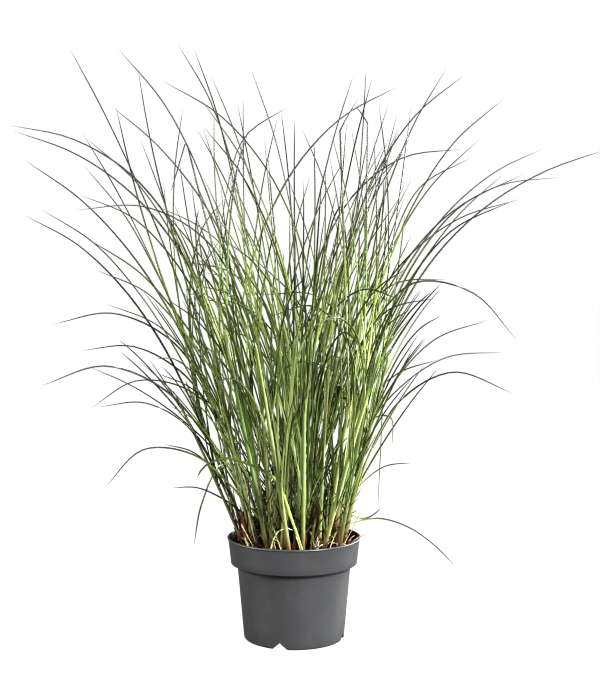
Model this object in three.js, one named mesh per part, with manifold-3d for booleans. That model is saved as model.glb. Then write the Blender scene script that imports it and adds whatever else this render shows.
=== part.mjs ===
// Potted gracillimus maiden grass: a round nursery pot, the soil in it, a clump of leafy shoots
// that stand in the soil, and the dead stubs and straws between them.
// Millimetres, +Z up. The origin is on the pot's axis, at the surface that the pot stands on.
// Seen from the front, +X is to the right and -Y is towards the viewer.

import * as THREE from "three";
import { mergeVertices } from "three/addons/utils/BufferGeometryUtils.js";
import Module from "manifold-3d";

const wasm = await Module();
wasm.setup();

// Pot
const RIM_RADIUS = 85;
const POT_HEIGHT = 130;
const COLLAR_HEIGHT = 32;
const COLLAR_FOOT_RADIUS = 80.5;
const BODY_TOP_RADIUS = 72;
const LEDGE_HEIGHT = 5.5;
const BASE_RADIUS = 64;
const WALL = 1.6;
const RECESS = 10;
const FLOOR = 12;
const FOOT_WIDTH = 8;
const PAD_RADIUS = 14;
const LIP = 1.2;
const POT_SIDES = 32;
const NOTCH = { count: 4, firstAngle: -106, width: 20.5, height: 8.8, apex: 4 };

// Soil
const SOIL_TOP = 122;
const SOIL_FALL = 2;
const SOIL_BUMP = 1.3;
const SOIL_SIDES = 20;
const SOIL_RINGS = [24, 46, 66];
const HOLE_SIDES = 4;
const CLEARANCE = 0.35;
const SOIL_GAP = 0.85;

// Shoots
const SHOOT_COUNT = 44;
const CLUMP_RADIUS = 63;
const CLUMP_CENTRE_X = 3;
const FOOT_Z = 100;
const HOLE_TOP_Z = 140;
const FOOT_SPACING = 12.5;
const STEM_SIDES = 5;
const STEM_FOOT_RADIUS = 2.2;
const STEM_TOP_RADIUS = 1.3;
const STEM_HEIGHT = { least: 175, spread: 95 };
const LEAN = { left: 17, right: 11, depth: 16, own: 9 };
const LEAN_GROWTH = 0.00035;
const STEM_SPACING = 6.6;
const RIM_PASS_RADIUS = 78.6;
const LEAN_PASSES = 160;

// Leaves
const LEAVES_PER_SHOOT = 7;
const LEAF_WIDTH = { least: 2.8, most: 4.6 };
const ROOT_WIDTH = 1.4;
const LEAST_THICKNESS = 0.8;
const STATION_LENGTH = 80;
const LEAF_GAP = 0.9;
const LOWEST_LEAF = 18;
const ROOT_SPACING = 13;
const ROOT_SHIFT = 0.3;

// The body of the clump opens out with height, more to the left than to the right. Each edge is
// [reach at the soil, growth, power of the height]. Inner leaves stay within an oval between the
// edges. Outlying ones point to the front and the back, where they reach as far as the seen leaves
// do at the sides, and as seen from the front they keep between the edges too.
const CLUMP_EDGE = { left: [48, 3.6, 0.6], right: [76, 0.195, 1], depth: [84, 0.34, 1] };
const INNER_TOP_Z = 715;
const OUTLYING_SHARE = 0.32;
const OUTLYING_REACH = { y: 310, topZ: 690 };
const CHECKED_FROM = 4;
const FIT_TRIES = 40;
const GROWTH_STEPS = 24;

// Where a viewer in front of the pot looks from
const EYE_DISTANCE = 1660;
const EYE_HEIGHT = 480;

const GREEN = new THREE.MeshStandardMaterial({ color: 0x7ba032, roughness: 0.5, metalness: 0 });
const STRAW = new THREE.MeshStandardMaterial({ color: 0xa98a58, roughness: 0.8, metalness: 0 });
const BROWN = new THREE.MeshStandardMaterial({ color: 0x5f4128, roughness: 0.9, metalness: 0 });
const EARTH = new THREE.MeshStandardMaterial({ color: 0x241b14, roughness: 1, metalness: 0 });
const PLASTIC = new THREE.MeshStandardMaterial({ color: 0x4b4d50, roughness: 0.4, metalness: 0 });

// The leaves that stand out on the real plant, as seen from the front, in mm:
// [x, z where it leaves its shoot, x, z half-way along, x, z of the tip]
const SEEN_LEAVES = [
  [-85, 325, -185, 550, -280, 745],
  [-55, 315, -110, 565, -220, 745],
  [-100, 315, -160, 540, -195, 720],
  [-45, 325, -70, 575, -145, 750],
  [-40, 310, -70, 550, -125, 745],
  [45, 325, -15, 560, -165, 705],
  [-40, 325, -95, 520, -230, 675],
  [-90, 315, -170, 550, -357, 650],
  [-70, 310, -165, 525, -352, 643],
  [-90, 295, -195, 475, -340, 608],
  [-100, 255, -205, 435, -340, 538],
  [-90, 265, -200, 445, -318, 545],
  [-90, 270, -175, 395, -306, 400],
  [-80, 305, -160, 415, -250, 469],
  [-80, 265, -135, 365, -237, 426],
  [-95, 280, -180, 480, -265, 640],
  [-90, 265, -175, 470, -264, 600],
  [-90, 295, -165, 455, -223, 674],
  [-70, 305, -150, 480, -269, 563],
  [-40, 305, -105, 500, -275, 544],
  [-115, 270, -150, 470, -139, 671],
  [-75, 280, -150, 420, -263, 510],
  [-105, 305, -85, 570, -7, 673],
  [25, 315, -5, 545, -54, 720],
  [-5, 280, -24, 480, -37, 633],
  [-70, 315, -95, 520, -100, 673],
  [-80, 310, -150, 510, -261, 634],
  [-5, 305, 22, 515, 74, 711],
  [65, 305, 78, 530, 90, 720],
  [-90, 315, -20, 560, 130, 698],
  [45, 325, 90, 560, 214, 713],
  [45, 305, 110, 550, 191, 721],
  [60, 285, 140, 530, 264, 684],
  [50, 295, 125, 500, 233, 633],
  [-10, 310, 60, 545, 210, 620],
  [30, 305, 75, 520, 145, 622],
  [65, 265, 160, 500, 311, 620],
  [80, 215, 170, 475, 393, 620],
  [50, 280, 165, 510, 334, 585],
  [75, 255, 150, 475, 289, 589],
  [45, 290, 130, 470, 285, 558],
  [75, 225, 145, 440, 263, 589],
  [60, 255, 150, 455, 278, 557],
  [30, 310, 95, 430, 192, 457],
  [40, 280, 145, 450, 282, 380],
  [75, 215, 145, 350, 247, 406],
  [40, 290, 105, 400, 178, 433],
  [100, 240, 113, 480, 106, 676],
  [65, 305, 135, 530, 223, 610],
  [-75, 240, -155, 350, -270, 367],
  [-75, 215, -185, 332, -321, 322],
  [-60, 240, -150, 325, -259, 293],
  [-65, 200, -150, 285, -260, 347],
  [-70, 200, -150, 283, -249, 295],
  [-60, 170, -150, 243, -241, 192],
  [-60, 155, -110, 220, -166, 248],
  [-55, 145, -105, 185, -155, 192],
  [-15, 185, -85, 226, -128, 116],
  [-70, 255, -115, 305, -173, 338],
  [-70, 200, -110, 260, -159, 298],
  [75, 190, 155, 322, 279, 312],
  [60, 200, 150, 330, 265, 365],
  [35, 175, 145, 255, 247, 202],
  [45, 155, 100, 208, 152, 224],
  [75, 145, 135, 146, 207, 90],
  [50, 240, 110, 320, 183, 355],
  [70, 255, 112, 290, 125, 248],
  [75, 135, 90, 152, 111, 166],
  [20, 265, -15, 335, -55, 365],
  [10, 305, -45, 405, -100, 435],
];

// Leaves whose end is folded over: [x, z of the foot, x, z of the fold, x, z of the tip]
const FOLDED_LEAVES = [
  [-60, 325, -135, 630, -155, 565],
  [75, 280, 58, 645, 81, 684],
  [85, 305, 90, 655, 76, 676],
  [95, 240, 116, 415, 107, 160],
];
const FOLD_BACK = 8;

// Dead pieces that stand in the soil:
// [x, y, radius, height above the soil, lean to the right, lean away from the viewer in degrees]
const STUBS = [
  [22, -40, 4.2, 62, 4, 2],
  [-57, -26, 3.4, 46, -10, -4],
  [52, -30, 3.0, 40, 12, -6],
  [-20, 30, 3.2, 50, -6, 6],
];
const STRAWS = [
  [43, -44, 1.4, 34, 20, -8],
  [62, -14, 1.3, 40, 28, -10],
  [-50, -40, 1.2, 32, -26, -6],
  [-32, -56, 1.1, 26, 24, -12],
  [8, -62, 1.2, 22, -14, -14],
  [-8, 58, 1.3, 34, 18, 14],
];
const DEAD_SIDES = 5;
const BROKEN_SLANT = 0.9;

const up = new THREE.Vector3(0, 0, 1);

function seeded(seed) {
  let state = seed;
  return () => {
    state = (state + 0x6d2b79f5) | 0;
    let t = Math.imul(state ^ (state >>> 15), 1 | state);
    t = (t + Math.imul(t ^ (t >>> 7), 61 | t)) ^ t;
    return ((t ^ (t >>> 14)) >>> 0) / 4294967296;
  };
}

const random = seeded(22);
const between = (low, high) => low + (high - low) * random();
const radians = THREE.MathUtils.degToRad;

// Solids

function toSolid(geometry) {
  const bare = geometry.clone();
  bare.deleteAttribute("normal");
  bare.deleteAttribute("uv");
  const merged = mergeVertices(bare, 1e-4);
  const corners = merged.index.array;
  const kept = [];
  for (let i = 0; i < corners.length; i += 3) {
    const [a, b, c] = [corners[i], corners[i + 1], corners[i + 2]];
    if (a !== b && b !== c && c !== a) kept.push(a, b, c);
  }
  const mesh = new wasm.Mesh({
    numProp: 3,
    vertProperties: new Float32Array(merged.attributes.position.array),
    triVerts: new Uint32Array(kept),
  });
  return new wasm.Manifold(mesh);
}

function toGeometry(solid) {
  const mesh = solid.getMesh();
  const geometry = new THREE.BufferGeometry();
  geometry.setAttribute("position", new THREE.BufferAttribute(mesh.vertProperties, 3));
  geometry.setIndex(new THREE.BufferAttribute(mesh.triVerts, 1));
  geometry.computeVertexNormals();
  return geometry;
}

// A closed skin over rings of equally many points, turning left as seen from their far end.
// An end that is a single point closes to that point, and any other end is capped flat.
function skin(rings) {
  const positions = [];
  const starts = [];
  const faces = [];
  for (const ring of rings) {
    starts.push(positions.length / 3);
    for (const point of ring) positions.push(point.x, point.y, point.z);
  }
  const sides = Math.max(...rings.map((ring) => ring.length));
  for (let r = 0; r + 1 < rings.length; r++) {
    for (let i = 0; i < sides; i++) {
      const j = (i + 1) % sides;
      const [a, b] = [starts[r] + i, starts[r] + j];
      const [c, d] = [starts[r + 1] + i, starts[r + 1] + j];
      if (rings[r].length === 1) faces.push(starts[r], d, c);
      else if (rings[r + 1].length === 1) faces.push(a, b, starts[r + 1]);
      else faces.push(a, b, d, a, d, c);
    }
  }
  const last = rings.length - 1;
  for (let i = 1; i + 1 < rings[0].length; i++) faces.push(0, i + 1, i);
  for (let i = 1; i + 1 < rings[last].length; i++) {
    faces.push(starts[last], starts[last] + i, starts[last] + i + 1);
  }
  const geometry = new THREE.BufferGeometry();
  geometry.setAttribute("position", new THREE.Float32BufferAttribute(positions, 3));
  geometry.setIndex(faces);
  return geometry;
}

function levelRing(centre, radius, sides) {
  return Array.from({ length: sides }, (_, i) => {
    const angle = (2 * Math.PI * i) / sides;
    const x = centre.x + radius * Math.cos(angle);
    return new THREE.Vector3(x, centre.y + radius * Math.sin(angle), centre.z);
  });
}

// Pot

const collarFootZ = POT_HEIGHT - COLLAR_HEIGHT;
const ledgeFootZ = collarFootZ - LEDGE_HEIGHT;

function innerRadiusAt(z) {
  const points = [
    [FLOOR, BASE_RADIUS + ((BODY_TOP_RADIUS - BASE_RADIUS) * FLOOR) / ledgeFootZ],
    [ledgeFootZ, BODY_TOP_RADIUS],
    [collarFootZ, COLLAR_FOOT_RADIUS],
    [POT_HEIGHT, RIM_RADIUS - LIP],
  ];
  for (let i = 1; i < points.length; i++) {
    const [[z0, r0], [z1, r1]] = [points[i - 1], points[i]];
    if (z <= z1) return r0 + ((r1 - r0) * (z - z0)) / (z1 - z0) - WALL;
  }
  return RIM_RADIUS - LIP - WALL;
}

function makePot() {
  const profile = [
    [0, 0],
    [PAD_RADIUS, 0],
    [PAD_RADIUS + 1, RECESS],
    [BASE_RADIUS - FOOT_WIDTH - 1, RECESS],
    [BASE_RADIUS - FOOT_WIDTH, 0],
    [BASE_RADIUS - 2, 0],
    [BASE_RADIUS, 2],
    [BODY_TOP_RADIUS, ledgeFootZ],
    [COLLAR_FOOT_RADIUS, collarFootZ],
    [RIM_RADIUS - LIP, POT_HEIGHT - 3],
    [RIM_RADIUS, POT_HEIGHT - 2],
    [RIM_RADIUS, POT_HEIGHT],
    [innerRadiusAt(POT_HEIGHT), POT_HEIGHT],
    [innerRadiusAt(collarFootZ), collarFootZ],
    [innerRadiusAt(ledgeFootZ), ledgeFootZ],
    [innerRadiusAt(FLOOR), FLOOR],
    [0, FLOOR],
  ].map(([radius, z]) => new THREE.Vector2(radius, z));
  const lathe = new THREE.LatheGeometry(profile, POT_SIDES);
  let pot = toSolid(lathe.rotateX(Math.PI / 2));

  const half = NOTCH.width / 2;
  const shoulder = NOTCH.height * (1 - NOTCH.apex / NOTCH.width);
  const arch = new THREE.Shape();
  arch.moveTo(-half, -1);
  arch.lineTo(half, -1);
  arch.lineTo(half, 0);
  arch.lineTo(NOTCH.apex / 2, shoulder);
  arch.quadraticCurveTo(0, 2 * NOTCH.height - shoulder, -NOTCH.apex / 2, shoulder);
  arch.lineTo(-half, 0);
  for (let i = 0; i < NOTCH.count; i++) {
    const cutter = new THREE.ExtrudeGeometry(arch, {
      depth: FOOT_WIDTH + 8,
      bevelEnabled: false,
      curveSegments: 3,
    });
    cutter.rotateX(Math.PI / 2);
    cutter.translate(0, BASE_RADIUS + 4, 0);
    cutter.rotateZ(radians(NOTCH.firstAngle - 90 + (360 * i) / NOTCH.count));
    pot = pot.subtract(toSolid(cutter));
  }
  return pot;
}

// Feet of the shoots and dead pieces

// A stem's lean, as slopes: outwards with its place in the clump, and some way of its own.
function leanAt({ x, y }) {
  const side = x < 0 ? LEAN.left : LEAN.right;
  const own = Math.tan(radians(LEAN.own));
  return {
    x: (Math.tan(radians(side)) * x) / CLUMP_RADIUS + between(-own, own),
    y: (Math.tan(radians(LEAN.depth)) * y) / CLUMP_RADIUS + between(-own, own),
  };
}

const grownRise = (z) => (z - FOOT_Z) * (1 + LEAN_GROWTH * Math.max(0, z - HOLE_TOP_Z));

// A stem leaves the soil at its lean and leans further as it climbs.
function stemPoint({ x, y, lean }, z) {
  return new THREE.Vector3(x + lean.x * grownRise(z), y + lean.y * grownRise(z), z);
}

const stemLevels = (topZ) => [FOOT_Z, HOLE_TOP_Z, (HOLE_TOP_Z + topZ) / 2, topZ];

const stemTopZ = (number) => SOIL_TOP + STEM_HEIGHT.least + STEM_HEIGHT.spread * ((number * 0.618) % 1);

function stemRadius(z, topZ) {
  const climb = THREE.MathUtils.clamp((z - SOIL_TOP) / (topZ - SOIL_TOP), 0, 1);
  return THREE.MathUtils.lerp(STEM_FOOT_RADIUS, STEM_TOP_RADIUS, climb);
}

function placeFeet(dead) {
  const feet = [];
  for (let i = 0; i < SHOOT_COUNT; i++) {
    const radius = CLUMP_RADIUS * Math.sqrt((i + 0.5) / SHOOT_COUNT);
    const angle = radians(137.5 * i);
    const x = CLUMP_CENTRE_X + radius * Math.cos(angle) + between(-2, 2);
    feet.push({ x, y: radius * Math.sin(angle) + between(-2, 2) });
  }
  for (let pass = 0; pass < 60; pass++) {
    for (const foot of feet) {
      for (const other of [...feet, ...dead]) {
        const [dx, dy] = [foot.x - other.x, foot.y - other.y];
        const apart = Math.hypot(dx, dy);
        if (other === foot || apart >= FOOT_SPACING) continue;
        foot.x += (dx / apart) * (FOOT_SPACING - apart) * 0.4;
        foot.y += (dy / apart) * (FOOT_SPACING - apart) * 0.4;
      }
      const reach = Math.hypot(foot.x, foot.y);
      const most = CLUMP_RADIUS + 3;
      if (reach > most) {
        foot.x *= most / reach;
        foot.y *= most / reach;
      }
    }
  }
  for (const foot of feet) foot.lean = leanAt(foot);
  return feet;
}

// Turns a stem's lean so that at height z the stem shifts by part of what it lacks.
function turnAway(foot, z, [dx, dy], lacking) {
  const apart = Math.hypot(dx, dy);
  foot.lean.x += ((dx / apart) * lacking * 0.4) / grownRise(z);
  foot.lean.y += ((dy / apart) * lacking * 0.4) / grownRise(z);
}

// Leans that would bring a stem onto another, a dead piece or the pot's rim are turned away.
function turnClear(feet, rows) {
  const highest = SOIL_TOP + STEM_HEIGHT.least + STEM_HEIGHT.spread;
  for (let pass = 0; pass < LEAN_PASSES; pass++) {
    for (const foot of feet) {
      for (let z = SOIL_TOP; z < highest; z += 22) {
        const here = stemPoint(foot, z);
        for (const other of feet) {
          if (other === foot) continue;
          const there = stemPoint(other, z);
          const lacking = STEM_SPACING - Math.hypot(here.x - there.x, here.y - there.y);
          if (lacking > 0) turnAway(foot, z, [here.x - there.x, here.y - there.y], lacking);
        }
      }
      for (const row of rows) {
        const { foot: low, top } = deadAxis(row);
        for (const along of [0.3, 0.5, 0.7, 0.9, 1]) {
          const there = low.clone().lerp(top, along);
          const here = stemPoint(foot, there.z);
          const lacking = 1.1 * row[2] + STEM_SPACING / 2 - Math.hypot(here.x - there.x, here.y - there.y);
          if (lacking > 0) turnAway(foot, there.z, [here.x - there.x, here.y - there.y], lacking);
        }
      }
      const rim = stemPoint(foot, POT_HEIGHT);
      const beyond = Math.hypot(rim.x, rim.y) - RIM_PASS_RADIUS;
      if (beyond > 0) turnAway(foot, POT_HEIGHT, [-rim.x, -rim.y], beyond);
    }
  }
}

// Paths of the leaves

function alongQuadratic(start, middle, end) {
  const control = middle.clone().multiplyScalar(2).sub(start.clone().add(end).multiplyScalar(0.5));
  return new THREE.QuadraticBezierCurve3(start, control, end);
}

// A point on the line of sight through (x, z) in the plane of the pot's axis, at depth y.
function atDepth(x, z, y) {
  const away = 1 + y / EYE_DISTANCE;
  return new THREE.Vector3(x * away, y, EYE_HEIGHT + (z - EYE_HEIGHT) * away);
}

// Even stations along a curve. The first is shifted inside the stem towards the leaf's own side.
function stationsOf(curve, shoot) {
  const count = THREE.MathUtils.clamp(Math.round(curve.getLength() / STATION_LENGTH), 4, 7);
  const points = curve.getSpacedPoints(count);
  const side = points[1].clone().sub(points[0]).setZ(0).normalize();
  points[0].addScaledVector(side, ROOT_SHIFT * stemRadius(points[0].z, shoot.topZ));
  return points;
}

// The shoot whose stem passes nearest to a leaf's foot, and which has few leaves so far.
function nearestShoot(shoots, x, z) {
  let best = null;
  let least = Infinity;
  for (const shoot of shoots) {
    const short = Math.max(0, z - 25 - shoot.topZ);
    const miss = Math.abs(stemPoint(shoot.foot, z).x - x);
    const cost = miss + 9 * shoot.leaves.length + short;
    if (cost < least) [best, least] = [shoot, cost];
  }
  return best;
}

// The free height on a stem that is nearest to z, a little away from every other leaf's root.
function rootOn(shoot, z) {
  const taken = shoot.leaves.map((leaf) => leaf.points[0].z);
  const heights = [];
  for (let height = SOIL_TOP + LOWEST_LEAF; height < shoot.topZ - 8; height += 3) heights.push(height);
  const free = heights.filter((height) => taken.every((other) => Math.abs(other - height) > ROOT_SPACING));
  const nearest = free.reduce((best, height) => (Math.abs(height - z) < Math.abs(best - z) ? height : best));
  return stemPoint(shoot.foot, nearest);
}

function addSeenLeaves(shoots) {
  for (const [footX, footZ, middleX, middleZ, tipX, tipZ] of SEEN_LEAVES) {
    const shoot = nearestShoot(shoots, footX, footZ);
    const root = rootOn(shoot, footZ - 25);
    const reach = Math.abs(tipX - footX) + 0.4 * Math.abs(tipZ - footZ);
    const tipY = 1.4 * root.y + reach * between(-0.4, 0.22);
    const middle = atDepth(middleX, middleZ, THREE.MathUtils.lerp(root.y, tipY, 0.42));
    const curve = alongQuadratic(root, middle, atDepth(tipX, tipZ, tipY));
    shoot.leaves.push({ points: stationsOf(curve, shoot), seen: true });
  }
}

function addFoldedLeaves(shoots) {
  for (const [footX, footZ, foldX, foldZ, tipX, tipZ] of FOLDED_LEAVES) {
    const shoot = nearestShoot(shoots, footX, footZ);
    const root = rootOn(shoot, footZ - 25);
    const depth = 1.5 * root.y;
    const fold = atDepth(foldX, foldZ, depth);
    const tip = atDepth(tipX, tipZ, depth);
    const before = fold.clone().lerp(root, FOLD_BACK / fold.distanceTo(root));
    const after = fold.clone().lerp(tip, FOLD_BACK / fold.distanceTo(tip));
    const rise = [0, 0.28, 0.55, 0.8].map((t) => root.clone().lerp(before, t));
    const half = after.clone().lerp(tip, 0.5);
    shoot.leaves.push({ points: [...rise, before, fold, after, half, tip], seen: true });
  }
}

// A leaf that climbs with its stem, turns out towards its heading and droops at its end.
function grownLeaf(root, stemway, heading, { length, spread, droop }) {
  const start = stemway.clone().addScaledVector(heading, between(0.2, 0.34)).normalize();
  const points = [root.clone()];
  for (let i = 0; i < GROWTH_STEPS; i++) {
    const along = Math.pow((i + 0.5) / GROWTH_STEPS, 1.7);
    const way = start.clone().addScaledVector(heading, spread * along).addScaledVector(up, -droop * along);
    points.push(points[i].clone().addScaledVector(way.normalize(), length / GROWTH_STEPS));
  }
  return new THREE.CatmullRomCurve3(points);
}

function clumpEdge(side, z) {
  const [atSoil, growth, power] = CLUMP_EDGE[side];
  return atSoil + growth * Math.pow(Math.max(0, z - SOIL_TOP), power);
}

// The first stretch of a leaf lies along its stem and isn't checked.
function fits(leaf, outlying) {
  return leaf.points.slice(CHECKED_FROM).every((point) => {
    const away = 1 + point.y / EYE_DISTANCE;
    const seenZ = EYE_HEIGHT + (point.z - EYE_HEIGHT) / away;
    const across = point.x / away / clumpEdge(point.x < 0 ? "left" : "right", seenZ);
    if (!outlying) {
      const deep = point.y / clumpEdge("depth", point.z);
      return Math.hypot(across, deep) < 1 && point.z < INNER_TOP_Z;
    }
    const lowest = SOIL_TOP + 58 + 0.3 * Math.hypot(point.x, point.y);
    const { y, topZ } = OUTLYING_REACH;
    return Math.abs(across) < 1 && Math.abs(point.y) < y && point.z < topZ && point.z > lowest;
  });
}

function outlyingHabit() {
  const habit = { length: between(230, 440), spread: between(0.5, 1.1), droop: between(0.4, 1.4) };
  return { ...habit, climb: between(0.1, 0.9) };
}

function innerHabit(topZ) {
  const climb = between(0.08, 1);
  const rise = INNER_TOP_Z - THREE.MathUtils.lerp(SOIL_TOP, topZ, climb);
  return { length: between(0.5, 1) * rise, spread: between(0.05, 0.45), droop: between(0, 0.3), climb };
}

function growLeaf(shoot, plane) {
  const out = new THREE.Vector3(shoot.foot.x, shoot.foot.y, 0).divideScalar(CLUMP_RADIUS);
  const outlying = random() < OUTLYING_SHARE;
  let leaf = null;
  for (let tries = 0; tries < FIT_TRIES; tries++) {
    const habit = outlying ? outlyingHabit() : innerHabit(shoot.topZ);
    habit.length *= 1 - (0.45 * tries) / FIT_TRIES;
    const root = rootOn(shoot, THREE.MathUtils.lerp(SOIL_TOP + LOWEST_LEAF, shoot.topZ, habit.climb));
    const stemway = stemPoint(shoot.foot, root.z + 20).sub(stemPoint(shoot.foot, root.z)).normalize();
    const turn = plane + Math.PI * (shoot.leaves.length % 2) + between(-0.7, 0.7);
    const heading = new THREE.Vector3(Math.cos(turn), Math.sin(turn), 0);
    heading.addScaledVector(out, between(0.4, 1.4)).normalize();
    if (outlying) heading.setX(0.55 * heading.x).setY(heading.y + Math.sign(shoot.foot.y)).normalize();
    leaf = grownLeaf(root, stemway, heading, habit);
    if (fits(leaf, outlying)) break;
  }
  shoot.leaves.push({ points: stationsOf(leaf, shoot), seen: false });
}

function addGrownLeaves(shoots) {
  for (const shoot of shoots) {
    const plane = between(0, 2 * Math.PI);
    while (shoot.leaves.length < LEAVES_PER_SHOOT) growLeaf(shoot, plane);
  }
}

// Bending clear: every stem and leaf is a chain of straight links with a half-width, and links
// of different chains that come too close move apart, while each leaf keeps its sweep.

function nearestOnLinks(a, b) {
  const u = new THREE.Vector3().subVectors(a.end, a.start);
  const v = new THREE.Vector3().subVectors(b.end, b.start);
  const w = new THREE.Vector3().subVectors(a.start, b.start);
  const [uu, uv, vv, uw, vw] = [u.dot(u), u.dot(v), v.dot(v), u.dot(w), v.dot(w)];
  const det = uu * vv - uv * uv;
  const clamp = (value) => THREE.MathUtils.clamp(value, 0, 1);
  let s = det > 1e-9 ? clamp((uv * vw - vv * uw) / det) : 0.5;
  const t = clamp((uv * s + vw) / vv);
  s = clamp((uv * t - uw) / uu);
  const apart = w.addScaledVector(u, s).addScaledVector(v, -t);
  return { s, t, apart, distance: apart.length() };
}

function chainLinks(chains) {
  const links = [];
  for (const chain of chains) {
    for (let i = 0; i + 1 < chain.points.length; i++) {
      const [start, end] = [chain.points[i], chain.points[i + 1]];
      links.push({ chain, i, start, end });
    }
  }
  return links;
}

function touchingLinks(links) {
  const reach = LEAF_WIDTH.most + LEAF_GAP;
  for (const link of links) {
    link.low = link.start.clone().min(link.end).subScalar(reach / 2);
    link.high = link.start.clone().max(link.end).addScalar(reach / 2);
  }
  const sorted = [...links].sort((a, b) => a.low.z - b.low.z);
  const pairs = [];
  for (let i = 0; i < sorted.length; i++) {
    const a = sorted[i];
    for (let j = i + 1; j < sorted.length && sorted[j].low.z <= a.high.z; j++) {
      const b = sorted[j];
      if (a.chain === b.chain || (a.chain.fixed && b.chain.fixed)) continue;
      if (a.low.x > b.high.x || b.low.x > a.high.x) continue;
      if (a.low.y > b.high.y || b.low.y > a.high.y) continue;
      const sameShoot = a.chain.shoot === b.chain.shoot;
      const rooted = (link) => link.chain.fixed || link.i === 0;
      if (sameShoot && rooted(a) && rooted(b)) continue;
      pairs.push([a, b]);
    }
  }
  return pairs;
}

function halfWidthOn(link, along) {
  const { widths } = link.chain;
  return THREE.MathUtils.lerp(widths[link.i], widths[link.i + 1], along) / 2;
}

function shortfall(a, b) {
  const near = nearestOnLinks(a, b);
  const wanted = halfWidthOn(a, near.s) + halfWidthOn(b, near.t) + LEAF_GAP;
  return { ...near, short: wanted - near.distance };
}

function move(link, along, step) {
  if (link.chain.fixed) return;
  const weights = [(1 - along), along];
  const norm = weights[0] ** 2 + weights[1] ** 2;
  [link.start, link.end].forEach((point, side) => {
    if (link.i + side > 0) point.addScaledVector(step, weights[side] / norm);
  });
}

// Each leaf's shift from its own sweep is evened out along it.
function evenOut(chain) {
  const shift = chain.points.map((point, i) => point.clone().sub(chain.sweep[i]));
  const last = shift.length - 1;
  for (let i = 1; i < last; i++) {
    const mean = shift[i - 1].clone().add(shift[i + 1]).multiplyScalar(0.5);
    chain.points[i].copy(chain.sweep[i]).add(shift[i].clone().lerp(mean, 0.12));
  }
}

function bendClear(chains, passes) {
  const links = chainLinks(chains);
  const leaves = chains.filter((chain) => !chain.fixed);
  for (const leaf of leaves) leaf.sweep = leaf.points.map((point) => point.clone());
  for (let pass = 0; pass < passes; pass++) {
    for (const [a, b] of touchingLinks(links)) {
      const { s, t, apart, distance, short } = shortfall(a, b);
      if (short <= 0) continue;
      const way = distance > 1e-6 ? apart.divideScalar(distance) : new THREE.Vector3(0, 1, 0);
      const share = a.chain.fixed || b.chain.fixed ? 1 : 0.5;
      move(a, s, way.clone().multiplyScalar(share * short * 0.7));
      move(b, t, way.clone().multiplyScalar(-share * short * 0.7));
    }
    if (pass < passes * 0.7) leaves.forEach(evenOut);
  }
  return links;
}

// Drops the leaves that still touch another, later ones first.
function dropTouching(chains, links) {
  const dropped = new Set();
  const touching = touchingLinks(links).filter(([a, b]) => shortfall(a, b).short > LEAF_GAP - CLEARANCE);
  for (const [a, b] of touching) {
    if (dropped.has(a.chain) || dropped.has(b.chain)) continue;
    const loose = [a.chain, b.chain].filter((chain) => !chain.fixed);
    loose.sort((one, other) => Number(one.seen) - Number(other.seen));
    dropped.add(loose[0]);
  }
  return chains.filter((chain) => !dropped.has(chain));
}

// Leaves and stems as solids

function leafWidths(count, widest) {
  return Array.from({ length: count }, (_, i) => {
    const along = i / (count - 1);
    const swell = THREE.MathUtils.smoothstep(along, 0, 0.25);
    const taper = 1 - 0.72 * Math.max(0, (along - 0.3) / 0.7) ** 1.4;
    return THREE.MathUtils.lerp(ROOT_WIDTH, widest, swell) * taper;
  });
}

// A blade with two edges and a keel below, which twists slowly along its length.
function makeBlade({ points, widths, twist }) {
  const last = points.length - 1;
  const heading = points[last].clone().sub(points[0]).setZ(0).normalize();
  const across = new THREE.Vector3().crossVectors(up, heading);
  const rings = points.slice(0, last).map((point, i) => {
    const way = points[i + 1].clone().sub(points[Math.max(0, i - 1)]).normalize();
    const side = across.clone().addScaledVector(way, -across.dot(way)).normalize();
    side.applyAxisAngle(way, twist.start + (twist.turn * i) / last);
    const below = new THREE.Vector3().crossVectors(side, way).normalize();
    const half = widths[i] / 2;
    const depth = Math.max(LEAST_THICKNESS, 0.24 * widths[i]);
    return [
      point.clone().addScaledVector(side, half).addScaledVector(below, -depth / 3),
      point.clone().addScaledVector(side, -half).addScaledVector(below, -depth / 3),
      point.clone().addScaledVector(below, (2 * depth) / 3),
    ];
  });
  return toSolid(skin([...rings, [points[last]]]));
}

function makeShoot(shoot) {
  const { foot, topZ } = shoot;
  const ringAt = (z) => levelRing(stemPoint(foot, z), stemRadius(z, topZ), STEM_SIDES);
  let solid = toSolid(skin([...stemLevels(topZ).map(ringAt), [stemPoint(foot, topZ + 12)]]));
  for (const leaf of shoot.leaves) solid = solid.add(makeBlade(leaf));
  return solid;
}

// A plain hole with flat walls, from just under a foot to above the soil.
function holeAlong(foot, mouth, radius) {
  const around = (radius + CLEARANCE) / Math.cos(Math.PI / HOLE_SIDES);
  const bottom = foot.clone().setZ(foot.z - CLEARANCE);
  return toSolid(skin([levelRing(bottom, around, HOLE_SIDES), levelRing(mouth, around, HOLE_SIDES)]));
}

function shootHole({ foot }) {
  return holeAlong(stemPoint(foot, FOOT_Z), stemPoint(foot, HOLE_TOP_Z), STEM_FOOT_RADIUS);
}

// Dead pieces

function deadAxis([x, y, , height, leanX, leanY]) {
  const slope = new THREE.Vector3(Math.tan(radians(leanX)), Math.tan(radians(leanY)), 1);
  const foot = new THREE.Vector3(x, y, SOIL_TOP).addScaledVector(slope, -15);
  return { foot, top: foot.clone().addScaledVector(slope, 15 + height) };
}

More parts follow.
